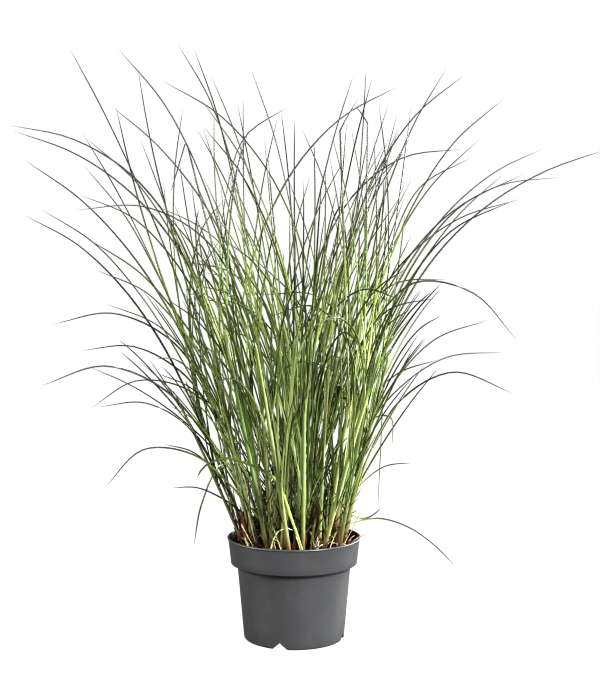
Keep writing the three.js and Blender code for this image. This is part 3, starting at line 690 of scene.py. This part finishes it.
def add_stem(builder, stem, exits, draw):
    """A rolled sheath that swells a little under each leaf, up to the stem's closed top."""
    tint = draw.random()
    hue = draw.random()
    base_z = SOIL_TOP - 6
    count = 26
    flatness = draw.uniform(0.72, 0.92)
    turn = draw.uniform(0, math.pi)
    rings = []
    for k in range(count + 1):
        along = k / count
        z = base_z + (stem.top_z + 10 - base_z) * along
        centre = stem.point(z)
        swells = [STEM_SWELL * math.exp(-((z - exit_z) / STEM_SWELL_LENGTH) ** 2) for exit_z in exits]
        radius = stem.radius(z) * (STEM_FULLNESS + max([0.0, *swells]))
        if z > stem.top_z:
            radius *= max(0.12, 1 - (z - stem.top_z) / 10)
        ring = []
        for i in range(STEM_SIDES):
            angle = 2 * math.pi * i / STEM_SIDES
            x = radius * math.cos(angle)
            y = radius * flatness * math.sin(angle)
            ring.append(Vector((
                centre[0] + x * math.cos(turn) - y * math.sin(turn),
                centre[1] + x * math.sin(turn) + y * math.cos(turn),
                z,
            )))
        across = [math.cos(2 * math.pi * i / STEM_SIDES) for i in range(STEM_SIDES)]
        rings.append(builder.ring(ring, along, across, tint, hue))
    builder.tube(rings, 1)


def dress_shoot(name, materials):
    """Replaces one shoot of the frame by its fine leaves and stem."""
    number = int(name.split("_")[1])
    draw = random.Random(100 + number)
    places, neighbours = solid_of(name)
    stem = Stem(number, places)
    builder = Builder()
    exits = []
    for sections in leaves_of(places, neighbours):
        leaving, root_side, root_above, _ = sections[0]
        exits.append(leaving[2])
        root = stem.point(leaving[2] - LEAF_ROOT_DEPTH)
        reach = float(np.hypot(*(sections[-1][0] - root)[:2]))
        share = min(1.0, reach / LONG_REACH)
        narrowing = LEAF_NARROWING[0] + (LEAF_NARROWING[1] - LEAF_NARROWING[0]) * share
        narrowed = [(p, s, a, max(LEAST_WIDTH, w * narrowing)) for p, s, a, w in sections]
        tint = draw.uniform(*LEAF_TINT) - max(0.0, reach - DULL_REACH[0]) / DULL_REACH[1]
        tint = min(1.0, max(0.0, tint))
        twist = draw.choice((-1, 1)) * draw.uniform(*LEAF_TWIST)
        tip = sections[-1][0]
        # The blade ending here gets a painted highlight: tint 2 paints it pale all along.
        if math.hypot(tip[0] - PALE_ARCH[0], tip[2] - PALE_ARCH[1]) < 8:
            tint = 2.0
            twist = 0.3
            narrowed = [(p, s, a, w + 0.7) for p, s, a, w in narrowed]
        whole = [(root, root_side, root_above, 2.0), *narrowed]
        add_blade(builder, whole, draw, tint=tint, twist=twist)
    add_stem(builder, stem, exits, draw)
    piece = builder.make(f"{name}_leaves", materials)
    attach(piece, "root")
    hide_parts(name)
    return stem, len(exits)


def grown_path(root, way, heading, length, spread, droop, count=7):
    """Sections of a leaf that leaves along `way`, turns to its heading and droops at its end."""
    place = root
    path = [root]
    steps = 4 * (count - 1)
    for i in range(steps):
        along = ((i + 0.5) / steps) ** 1.7
        step = way + heading * (spread * along) - UP * (droop * along)
        place = place + unit(step) * (length / steps)
        if i % 4 == 3:
            path.append(place)
    return path


def blade_sections(path, width, twist, turn):
    """Gives a path its sides and widths, twisting steadily along it."""
    heading = path[-1] - path[0]
    across = unit(np.array([-heading[1], heading[0], 0.0]))
    sections = []
    last = len(path) - 1
    for i, place in enumerate(path):
        along = i / last
        way = unit(path[min(i + 1, last)] - path[max(i - 1, 0)])
        side = unit(across - way * float(np.dot(across, way)))
        above = np.cross(way, side)
        angle = twist + turn * along
        turned_side = side * math.cos(angle) + above * math.sin(angle)
        turned_above = np.cross(way, turned_side)
        swell = min(1.0, 0.55 + 2.5 * along)
        taper = 1 - 0.66 * max(0.0, (along - 0.3) / 0.7) ** 1.5
        sections.append((place, turned_side, turned_above, width * swell * taper))
    return sections


def clump_edge(side, z):
    """Distance in mm from the pot's axis to the dense clump's edge at a height."""
    foot, growth, power = CLUMP_EDGE[side]
    return foot + growth * max(0.0, z - SOIL_TOP) ** power


def in_clump(path):
    for x, y, z in path[1:]:
        across = x / clump_edge("left" if x < 0 else "right", z)
        away = y / clump_edge("depth", z)
        if math.hypot(across, away) > 1.05 or z > FINE_TOP_Z:
            return False
    return True


def add_fine_leaves(stems, materials):
    """Narrow leaves between the broad ones, which cross each other at all angles."""
    for stem in stems:
        draw = random.Random(500 + stem.number)
        builder = Builder()
        for kind in [kind for kind in FINE_KINDS for _ in range(kind.count)]:
            for tries in range(30):
                low, high = kind.feet
                z = min(SOIL_TOP + low + (high - low) * draw.random() ** 1.4, stem.top_z - 10)
                angle = draw.uniform(0, 2 * math.pi)
                heading = level_way(angle)
                way = unit(stem.way(z) + heading * draw.uniform(*kind.out))
                length = draw.uniform(*kind.length) * (1 - 0.015 * tries)
                spread = draw.uniform(*kind.spread)
                droop = draw.uniform(*kind.droop)
                path = grown_path(stem.point(z), way, heading, length, spread, droop)
                if in_clump(path):
                    break
            else:
                continue
            width = draw.uniform(*kind.width)
            sections = blade_sections(path, width, draw.uniform(-1.2, 1.2), draw.uniform(-1.5, 1.5))
            # A few fine leaves get the pale painted highlight colour (tint 1.6).
            tint = 1.6 if draw.random() < kind.pale else kind.tint * draw.random()
            add_blade(builder, sections, draw, FINE_STATIONS, tint)
        piece = builder.make(f"fine_leaves_{stem.number:02d}", materials)
        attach(piece, "root")


def add_young_leaves(materials):
    """Short leaves of young shoots that come straight from the soil."""
    draw = random.Random(61)
    builder = Builder()
    for _ in range(YOUNG_LEAVES):
        angle = draw.uniform(0, 2 * math.pi)
        radius = YOUNG_REACH * math.sqrt(draw.random())
        out = level_way(angle)
        root = np.array([
            YOUNG_CENTRE[0] + YOUNG_SHARE[0] * radius * out[0],
            YOUNG_CENTRE[1] + YOUNG_SHARE[1] * radius * out[1],
            SOIL_TOP - 4,
        ])
        sideways = level_way(draw.uniform(0, 2 * math.pi))
        heading = unit(out * 0.8 * radius / YOUNG_REACH + sideways * 0.6)
        way = unit(UP + heading * draw.uniform(0.05, 0.45))
        length = 30 + 120 * draw.random() ** 1.5
        path = grown_path(root, way, heading, length, draw.uniform(0.1, 0.9), draw.uniform(0.0, 0.5), 5)
        if not in_clump(path):
            continue
        width = draw.uniform(1.6, 2.8)
        sections = blade_sections(path, width, draw.uniform(-0.8, 0.8), draw.uniform(-1.2, 1.2))
        add_blade(builder, sections, draw, 14, tint=0.6 * draw.random() ** 2)
    piece = builder.make("young_leaves", materials)
    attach(piece, "root")


def add_strip(builder, rows, thickness, tint, hue):
    """A thin closed strip over rows of points that all face away from each row's centre."""
    rings = []
    for k, (centre, row) in enumerate(rows):
        along = k / (len(rows) - 1)
        outer = [Vector(point) for point in row]
        inner = [Vector(point + unit(centre - point) * thickness) for point in reversed(row)]
        across = [2 * i / (len(row) - 1) - 1 for i in range(len(row))]
        rings.append(builder.ring(outer + inner, along, across + across[::-1], tint, hue))
    builder.tube(rings)


def add_sheath(builder, axis, radius, base_z, height, draw):
    """A dry sheath wrapped part way round a stem, which flares and frays towards its top."""
    middle = draw.uniform(0, 2 * math.pi)
    spread = draw.uniform(0.9, 2.0)
    flare = draw.uniform(0.3, 3.2)
    tint = draw.random()
    hue = draw.random()
    lean = draw.uniform(-0.3, 0.3)
    rows = []
    for k in range(8):
        along = k / 7
        z = base_z + height * along
        centre = axis(z)
        reach = radius(z) + 0.35 + flare * along ** 2.2
        half = spread * (1 - along ** 1.6 * 0.93)
        row = []
        for i in range(6):
            angle = middle + lean * along + half * (2 * i / 5 - 1)
            ruffle = 0.25 * math.sin(7 * along + 2.1 * i)
            row.append(centre + (reach + ruffle) * level_way(angle))
        rows.append((centre, row))
    add_strip(builder, rows, SHEATH_THICKNESS, tint, hue)


def add_sheaths(stems, material):
    """Dead leaf sheaths round the feet of the stems."""
    draw = random.Random(71)
    builder = Builder()
    for stem in stems:
        for _ in range(draw.choice((1, 2, 2, 3, 4))):
            height = 7 + 34 * draw.random() ** 1.8
            add_sheath(builder, stem.point, stem.radius, SOIL_TOP - 3, height, draw)
    piece = builder.make("dead_sheaths", [material])
    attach(piece, "root")


def add_litter(name, material, kind):
    """Dry scraps of leaf that lie and lean on the soil and between the stems."""
    draw = random.Random(name)
    builder = Builder()
    for _ in range(kind.count):
        angle = draw.uniform(0, 2 * math.pi)
        radius = kind.reach * math.sqrt(draw.random())
        x = kind.centre[0] + radius * math.cos(angle)
        y = kind.centre[1] + radius * math.sin(angle)
        root = np.array([x, y, soil_height(x, y) - 1.0])
        heading = level_way(draw.uniform(0, 2 * math.pi))
        way = unit(UP + heading * draw.uniform(*kind.lean))
        length = draw.uniform(*kind.length)
        spread = draw.uniform(0.0, 1.6)
        droop = draw.uniform(-0.2, kind.droop)
        path = grown_path(root, way, heading, length, spread, droop, 5)
        furthest = max(math.hypot(point[0], point[1]) for point in path)
        if furthest > LITTER_REACH and path[-1][2] < POT_HEIGHT + LITTER_CLEARANCE:
            continue
        if min(point[2] - soil_height(point[0], point[1]) for point in path[1:]) < -1:
            continue
        width = draw.uniform(*kind.width)
        sections = blade_sections(path, width, draw.uniform(-1.5, 1.5), draw.uniform(-3, 3))
        add_blade(builder, sections, draw, 12)
    piece = builder.make(name, [material])
    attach(piece, "root")


def add_front_blades(materials):
    """The few small blades that stand out before the clump's foot, most of them with the pale painted
    highlight colour.
    """
    draw = random.Random(181)
    builder = Builder()
    for width, tint, *points in FRONT_BLADES:
        path = [np.array(point, float) for point in points]
        add_blade(builder, blade_sections(path, width, 0.4, 0.6), draw, 24, tint)
    piece = builder.make("front_blades", materials)
    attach(piece, "root")


def ends_of(places):
    """Middles of the lowest and highest five corners, and the radius of the lowest."""
    order = np.argsort(places[:, 2])
    foot = places[order[:5]]
    base = foot.mean(axis=0)
    radius = float(np.linalg.norm(foot[:, :2] - base[:2], axis=1).mean())
    return base, places[order[-5:]].mean(axis=0), radius


def dress_stub(name, material):
    """A dead, broken stem: a fibrous core with torn sheaths round it."""
    places, _ = solid_of(name)
    draw = random.Random(name)
    base, top, radius = ends_of(places)
    high_z = places[:, 2].max()
    slope = (top - base) / (top[2] - base[2])

    def axis(z):
        return base + slope * (z - base[2])

    builder = Builder()
    rings = []
    count = 16
    sides = 16
    for k in range(count + 1):
        along = k / count
        ring = []
        for i in range(sides):
            angle = 2 * math.pi * i / sides
            ridge = 1 + 0.10 * math.sin(5 * angle + 1.3) + 0.06 * math.sin(11 * angle)
            ragged = radius * (1.1 * math.sin(3 * angle + 0.7) + 0.8 * math.sin(7 * angle)) * along ** 6
            z = base[2] + (high_z - base[2] - 1.6 * radius) * along + ragged
            reach = radius * ridge * (0.92 - 0.18 * along)
            ring.append(Vector(axis(z) + reach * level_way(angle)))
        rings.append(builder.ring(ring, along, [0.0] * sides, 0.3, draw.random()))
    builder.tube(rings)
    for _ in range(5):
        height = (high_z - SOIL_TOP) * draw.uniform(0.35, 0.98)
        add_sheath(builder, axis, lambda z: radius * 0.9, SOIL_TOP - 4, height, draw)
    piece = builder.make(f"{name}_torn", [material])
    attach(piece, "root")
    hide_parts(name)


def dress_straw(name, material):
    """A dry hollow straw with a split, bent end."""
    places, _ = solid_of(name)
    draw = random.Random(name)
    base, top, radius = ends_of(places)
    builder = Builder()
    rings = []
    sides = 10
    for k in range(13):
        along = k / 12
        centre = base + (top - base) * along
        bow = 0.6 * math.sin(math.pi * along)
        ring = []
        for i in range(sides):
            angle = 2 * math.pi * i / sides
            reach = 0.5 * radius * (1 - 0.25 * along) * (1 + 0.12 * math.sin(3 * angle))
            rise = radius * 1.8 * math.sin(2 * angle + 0.5) * along ** 8
            shift = np.array([reach * math.cos(angle) + bow, reach * math.sin(angle), rise])
            ring.append(Vector(centre + shift))
        rings.append(builder.ring(ring, along, [0.0] * sides, draw.random(), 0.5))
    builder.tube(rings)
    piece = builder.make(f"{name}_dry", [material])
    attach(piece, "root")
    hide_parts(name)


# Pot and soil

def turned(name, profile, sides, material):
    """A solid of revolution from a closed profile of (radius, z) in mm."""
    vertices = []
    faces = []
    count = len(profile)
    for i in range(sides):
        angle = 2 * math.pi * i / sides
        for radius, z in profile:
            vertices.append((radius * math.cos(angle) * MM, radius * math.sin(angle) * MM, z * MM))
    for i in range(sides):
        j = (i + 1) % sides
        for k in range(count):
            m = (k + 1) % count
            faces.append((i * count + k, j * count + k, j * count + m, i * count + m))
    return object_from(name, vertices, faces, material)


def arc(centre, radius, first, last, steps):
    angles = [math.radians(first + (last - first) * k / steps) for k in range(steps + 1)]
    return [(centre[0] + radius * math.cos(a), centre[1] + radius * math.sin(a)) for a in angles]


def make_pot(material):
    inner_top = RIM_RADIUS - 1.2 - WALL
    profile = [
        (0.0, 0.0),
        (PAD_RADIUS, 0.0),
        (PAD_RADIUS + 1.0, RECESS),
        (BASE_RADIUS - FOOT_WIDTH - 2.0, RECESS),
        (BASE_RADIUS - FOOT_WIDTH - 1.0, RECESS - 0.8),
        (BASE_RADIUS - FOOT_WIDTH, 0.0),
        *arc((BASE_RADIUS - 3.0, 3.0), 3.0, -90, -5, 6),
        *[(BASE_RADIUS + (BODY_TOP_RADIUS - BASE_RADIUS) * t, 3.0 + (LEDGE_FOOT_Z - 3.0) * t)
          for t in (0.2, 0.4, 0.6, 0.8, 0.97)],
        (BODY_TOP_RADIUS + 0.2, LEDGE_FOOT_Z - 0.4),
        (BODY_TOP_RADIUS + 0.9, LEDGE_FOOT_Z + 0.6),
        (COLLAR_FOOT_RADIUS - 1.0, COLLAR_FOOT_Z - 1.4),
        (COLLAR_FOOT_RADIUS - 0.2, COLLAR_FOOT_Z - 0.9),
        (COLLAR_FOOT_RADIUS, COLLAR_FOOT_Z - 0.2),
        (COLLAR_FOOT_RADIUS + 0.8, COLLAR_FOOT_Z + 8.0),
        (COLLAR_FOOT_RADIUS + 1.9, COLLAR_FOOT_Z + 18.0),
        (RIM_RADIUS - 1.25, POT_HEIGHT - 3.4),
        (RIM_RADIUS - 1.1, POT_HEIGHT - 2.7),
        *arc((RIM_RADIUS - 1.2, POT_HEIGHT - 1.2), 1.2, -60, 90, 8),
        (inner_top + 0.6, POT_HEIGHT - 0.1),
        (inner_top, POT_HEIGHT - 0.8),
        (inner_top - 1.5, POT_HEIGHT - 20.0),
        (COLLAR_FOOT_RADIUS - WALL, COLLAR_FOOT_Z),
        (BODY_TOP_RADIUS - WALL, LEDGE_FOOT_Z),
        (BASE_RADIUS + 1.0 - WALL, FLOOR),
        (0.0, FLOOR),
    ]
    pot = turned("pot_shell", profile, POT_SIDES, material)
    cutters = []
    for i in range(NOTCH_COUNT):
        outline = [(-NOTCH_WIDTH / 2, -2.0), (NOTCH_WIDTH / 2, -2.0), (NOTCH_WIDTH / 2, 0.0)]
        shoulder = NOTCH_HEIGHT * (1 - NOTCH_APEX / NOTCH_WIDTH)
        for k in range(9):
            x = NOTCH_APEX * (0.5 - k / 8)
            rise = (NOTCH_HEIGHT - shoulder) * (1 - (2 * x / NOTCH_APEX) ** 2)
            outline.append((x, shoulder + rise))
        outline.append((-NOTCH_WIDTH / 2, 0.0))
        angle = math.radians(NOTCH_FIRST_ANGLE + 360 * i / NOTCH_COUNT)
        out = Vector((math.cos(angle), math.sin(angle), 0))
        side = Vector((-math.sin(angle), math.cos(angle), 0))
        near = [out * (BASE_RADIUS - FOOT_WIDTH - 4) + side * x + Vector((0, 0, z)) for x, z in outline]
        far = [out * (BASE_RADIUS + 6) + side * x + Vector((0, 0, z)) for x, z in outline]
        count = len(outline)
        faces = [tuple(range(count)), tuple(reversed(range(count, 2 * count)))]
        for k in range(count):
            m = (k + 1) % count
            faces.append((m, k, k + count, m + count))
        cutter = object_from(f"notch_cutter_{i}", [v * MM for v in near + far], faces, material)
        cutters.append(cutter)
    fix_normals(pot)
    for cutter in cutters:
        fix_normals(cutter)
        cut = pot.modifiers.new("notch", "BOOLEAN")
        cut.operation = "DIFFERENCE"
        cut.solver = "EXACT"
        cut.object = cutter
    fix_normals(pot)
    apply_modifiers(pot)
    for cutter in cutters:
        bpy.data.objects.remove(cutter)
    pot.data.polygons.foreach_set("use_smooth", [True] * len(pot.data.polygons))
    pot.data.set_sharp_from_angle(angle=math.radians(35))
    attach(pot, "root")
    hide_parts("pot")


def fix_normals(obj):
    shape = bmesh.new()
    shape.from_mesh(obj.data)
    bmesh.ops.remove_doubles(shape, verts=shape.verts, dist=1e-6)
    bmesh.ops.recalc_face_normals(shape, faces=shape.faces)
    shape.to_mesh(obj.data)
    shape.free()


def apply_modifiers(obj):
    graph = bpy.context.evaluated_depsgraph_get()
    mesh = bpy.data.meshes.new_from_object(obj.evaluated_get(graph))
    obj.modifiers.clear()
    obj.data = mesh


def soil_height(x, y):
    """Height of the soil surface in mm, rough at two scales."""
    coarse = noise.noise(Vector((x * 0.05, y * 0.05, 3.0)))
    fine = noise.noise(Vector((x * 0.25, y * 0.25, 9.0)))
    fall = 2.0 * (math.hypot(x, y) / 80.0) ** 2
    return SOIL_TOP - fall + 1.2 * coarse + 0.8 * fine


def make_soil(material):
    builder = Builder()
    levels = [(61.5, FLOOR + 2.0), (68.5, LEDGE_FOOT_Z - 1.5), (77.0, COLLAR_FOOT_Z + 1.5), (79.5, 114.0)]
    made = []
    for radius, z in levels:
        points = [soil_corner(radius, i, z) for i in range(SOIL_SIDES)]
        made.append(builder.ring(points, 0.0, [0.0] * SOIL_SIDES, 0.0))
    for k in range(SOIL_RINGS):
        radius = SOIL_EDGE * (1 - k / SOIL_RINGS)
        points = [soil_corner(radius, i) for i in range(SOIL_SIDES)]
        made.append(builder.ring(points, 0.0, [0.0] * SOIL_SIDES, 0.0))
    builder.tube(made)
    soil = builder.make("soil_bed", [material])
    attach(soil, "root")
    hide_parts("soil")


def soil_corner(radius, index, z=None):
    """A corner of the soil bed, on its rough surface where no height is given."""
    angle = 2 * math.pi * index / SOIL_SIDES
    point = Vector((radius * math.cos(angle), radius * math.sin(angle), 0))
    point.z = soil_height(point.x, point.y) if z is None else z
    return point


def lump_shape():
    shape = bmesh.new()
    bmesh.ops.create_icosphere(shape, subdivisions=1, radius=1.0)
    vertices = [v.co.copy() for v in shape.verts]
    faces = [tuple(v.index for v in face.verts) for face in shape.faces]
    shape.free()
    return vertices, faces


def scatter(name, count, sizes, flatness, material, seed):
    """Rough lumps strewn over the soil, joined into one mesh."""
    draw = random.Random(seed)
    vertices, faces = lump_shape()
    builder = Builder()
    for _ in range(count):
        radius = SCATTER_REACH * math.sqrt(draw.random())
        angle = draw.uniform(0, 2 * math.pi)
        x = radius * math.cos(angle)
        y = radius * math.sin(angle)
        size = sizes[0] + (sizes[1] - sizes[0]) * draw.random() ** 2.2
        spin = Matrix.Rotation(draw.uniform(0, 6.28), 3, "Z")
        spin = spin @ Matrix.Rotation(draw.uniform(-0.7, 0.7), 3, "X")
        stretch = Vector((1.0, draw.uniform(*flatness[0]), draw.uniform(*flatness[1])))
        centre = Vector((x, y, soil_height(x, y) + size * stretch.z * (0.5 - LUMP_SINK)))
        start = len(builder.vertices)
        for v in vertices:
            rough = 1 + LUMP_ROUGHNESS * noise.noise(v * 1.7 + Vector((x, y, size)))
            local = Vector((v.x * stretch.x, v.y * stretch.y, v.z * stretch.z)) * (0.5 * size * rough)
            builder.vertices.append(centre + spin @ local)
        for face in faces:
            builder.faces.append(tuple(start + i for i in face))
            builder.slots.append(0)
    builder.values = {}
    piece = builder.make(name, [material], smooth=False)
    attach(piece, "root")


# Camera, light and stage

def make_camera():
    camera = bpy.data.objects.new("camera", bpy.data.cameras.new("camera"))
    scene.collection.objects.link(camera)
    scene.camera = camera
    camera.data.sensor_fit = "VERTICAL"
    camera.data.sensor_height = SENSOR_HEIGHT
    camera.data.lens = FOCAL_PX * SENSOR_HEIGHT / PHOTO_HEIGHT
    camera.data.clip_end = 50.0
    camera.location = EYE
    camera.rotation_euler = (math.radians(90 - EYE_PITCH), 0, 0)
    camera.data.shift_x = (PHOTO_WIDTH / 2 - POT_AXIS_PX) / PHOTO_HEIGHT


def area_light(name, place, target, size, power):
    light = bpy.data.lights.new(name, "AREA")
    light.shape = "RECTANGLE"
    light.size, light.size_y = size
    light.energy = power * LIGHT_GAIN
    obj = bpy.data.objects.new(name, light)
    obj.location = place
    obj.rotation_euler = (Vector(target) - Vector(place)).to_track_quat("-Z", "Y").to_euler()
    scene.collection.objects.link(obj)


def make_world():
    """A white surround behind the plant, which lights it less than it shows."""
    world = bpy.data.worlds.new("studio")
    world.use_nodes = True
    tree = NodeKit(world.node_tree)
    seen = tree.nodes["Background"]
    seen.inputs["Color"].default_value = (1.0, 1.0, 1.0, 1.0)
    seen.inputs["Strength"].default_value = 1.0
    direction = tree.add("ShaderNodeSeparateXYZ")
    tree.feed(direction.inputs[0], tree.add("ShaderNodeTexCoord").outputs["Generated"])
    level = tree.calculate("MULTIPLY", direction.outputs["Z"], 0.5)
    level = tree.calculate("ADD", level, 0.5)
    lighting = tree.add("ShaderNodeBackground")
    tree.feed(lighting.inputs["Color"], tree.ramp(level, SKY))
    lighting.inputs["Strength"].default_value = AMBIENT
    mix = tree.add("ShaderNodeMixShader")
    tree.feed(mix.inputs[0], tree.add("ShaderNodeLightPath").outputs["Is Camera Ray"])
    tree.feed(mix.inputs[1], lighting.outputs[0])
    tree.feed(mix.inputs[2], seen.outputs[0])
    tree.feed(tree.nodes["World Output"].inputs["Surface"], mix.outputs[0])
    scene.world = world
    scene.view_settings.view_transform = "Standard"
    scene.view_settings.gamma = FILM_GAMMA
    scene.cycles.filter_width = FILM_FILTER


def make_floor():
    """A white floor that glows by itself and sends no light back to the plant."""
    look = Look("studio_floor")
    look.shader.inputs["Emission Color"].default_value = (1.0, 1.0, 1.0, 1.0)
    look.shader.inputs["Emission Strength"].default_value = FLOOR_GLOW
    material = look.complete((0.02, 0.02, 0.02), 1.0, 0.0)
    square = ((-1, -1), (1, -1), (1, 1), (-1, 1))
    corners = [Vector((x * FLOOR_HALF, y * FLOOR_HALF, FLOOR_LEVEL)) for x, y in square]
    floor = object_from("floor", corners, [(0, 1, 2, 3)], material)
    floor.visible_diffuse = False
    floor.visible_glossy = False


def make_lights():
    area_light("key", (1.8, -2.0, 1.5), (0, 0, 0.4), (0.8, 0.8), 430)
    area_light("side", (2.2, 0.6, 0.7), (0, 0, 0.2), (0.5, 1.8), 150)
    area_light("edge", (1.6, 1.9, 0.5), (0, 0, 0.2), (0.7, 1.4), 70)
    area_light("left", (-2.3, -0.6, 0.8), (0, 0, 0.2), (1.2, 1.6), 165)
    area_light("low", (0.7, -1.5, 0.03), (0, 0, 0.12), (0.8, 0.3), 7)
    area_light("top", (-0.6, 0.8, 2.7), (0, 0, 0.4), (1.0, 1.0), 60)


make_camera()
make_world()
make_floor()
make_lights()

grass = [leaf_material(), stem_material()]
shoots = sorted(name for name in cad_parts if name.startswith("shoot_"))
dressed = [dress_shoot(name, grass) for name in shoots]
stems = [stem for stem, _ in dressed]
print("leaves read from the frame:", sum(count for _, count in dressed))
add_fine_leaves(stems, grass)
add_young_leaves(grass)

sheath_look = dead_material("sheath_brown", (0.018, 0.008, 0.005), (0.080, 0.037, 0.020), 0.75)
stub_look = dead_material("stub_brown", (0.024, 0.010, 0.005), (0.112, 0.052, 0.026), 0.8)
straw_look = dead_material("straw_tan", (0.180, 0.120, 0.070), (0.450, 0.365, 0.250), 0.7)
add_sheaths(stems, sheath_look)
for name, kind in STRAW_LITTER.items():
    add_litter(name, straw_look, kind)
for name, kind in BROWN_LITTER.items():
    add_litter(name, sheath_look, kind)
add_front_blades(grass)
for name in sorted(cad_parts):
    if name.startswith("dead_stub"):
        dress_stub(name, stub_look)
    if name.startswith("dead_straw"):
        dress_straw(name, straw_look)

make_pot(pot_material())
soil_look = soil_material()
make_soil(soil_look)
scatter("soil_crumbs", CRUMB_COUNT, (1.2, 5.5), ((0.6, 1.0), (0.45, 0.9)), soil_look, 5)
pale = plain_grain_material("perlite_pale", (0.42, 0.40, 0.36), (0.70, 0.68, 0.62), 500.0)
scatter("soil_perlite", PERLITE_COUNT, (1.4, 3.2), ((0.7, 1.0), (0.6, 0.9)), pale, 6)
bark = plain_grain_material("bark_brown", (0.030, 0.016, 0.009), (0.090, 0.050, 0.027), 380.0)
scatter("soil_bark", BARK_COUNT, (3.0, 8.0), ((0.16, 0.34), (0.12, 0.3)), bark, 7)

bpy.context.view_layer.update()
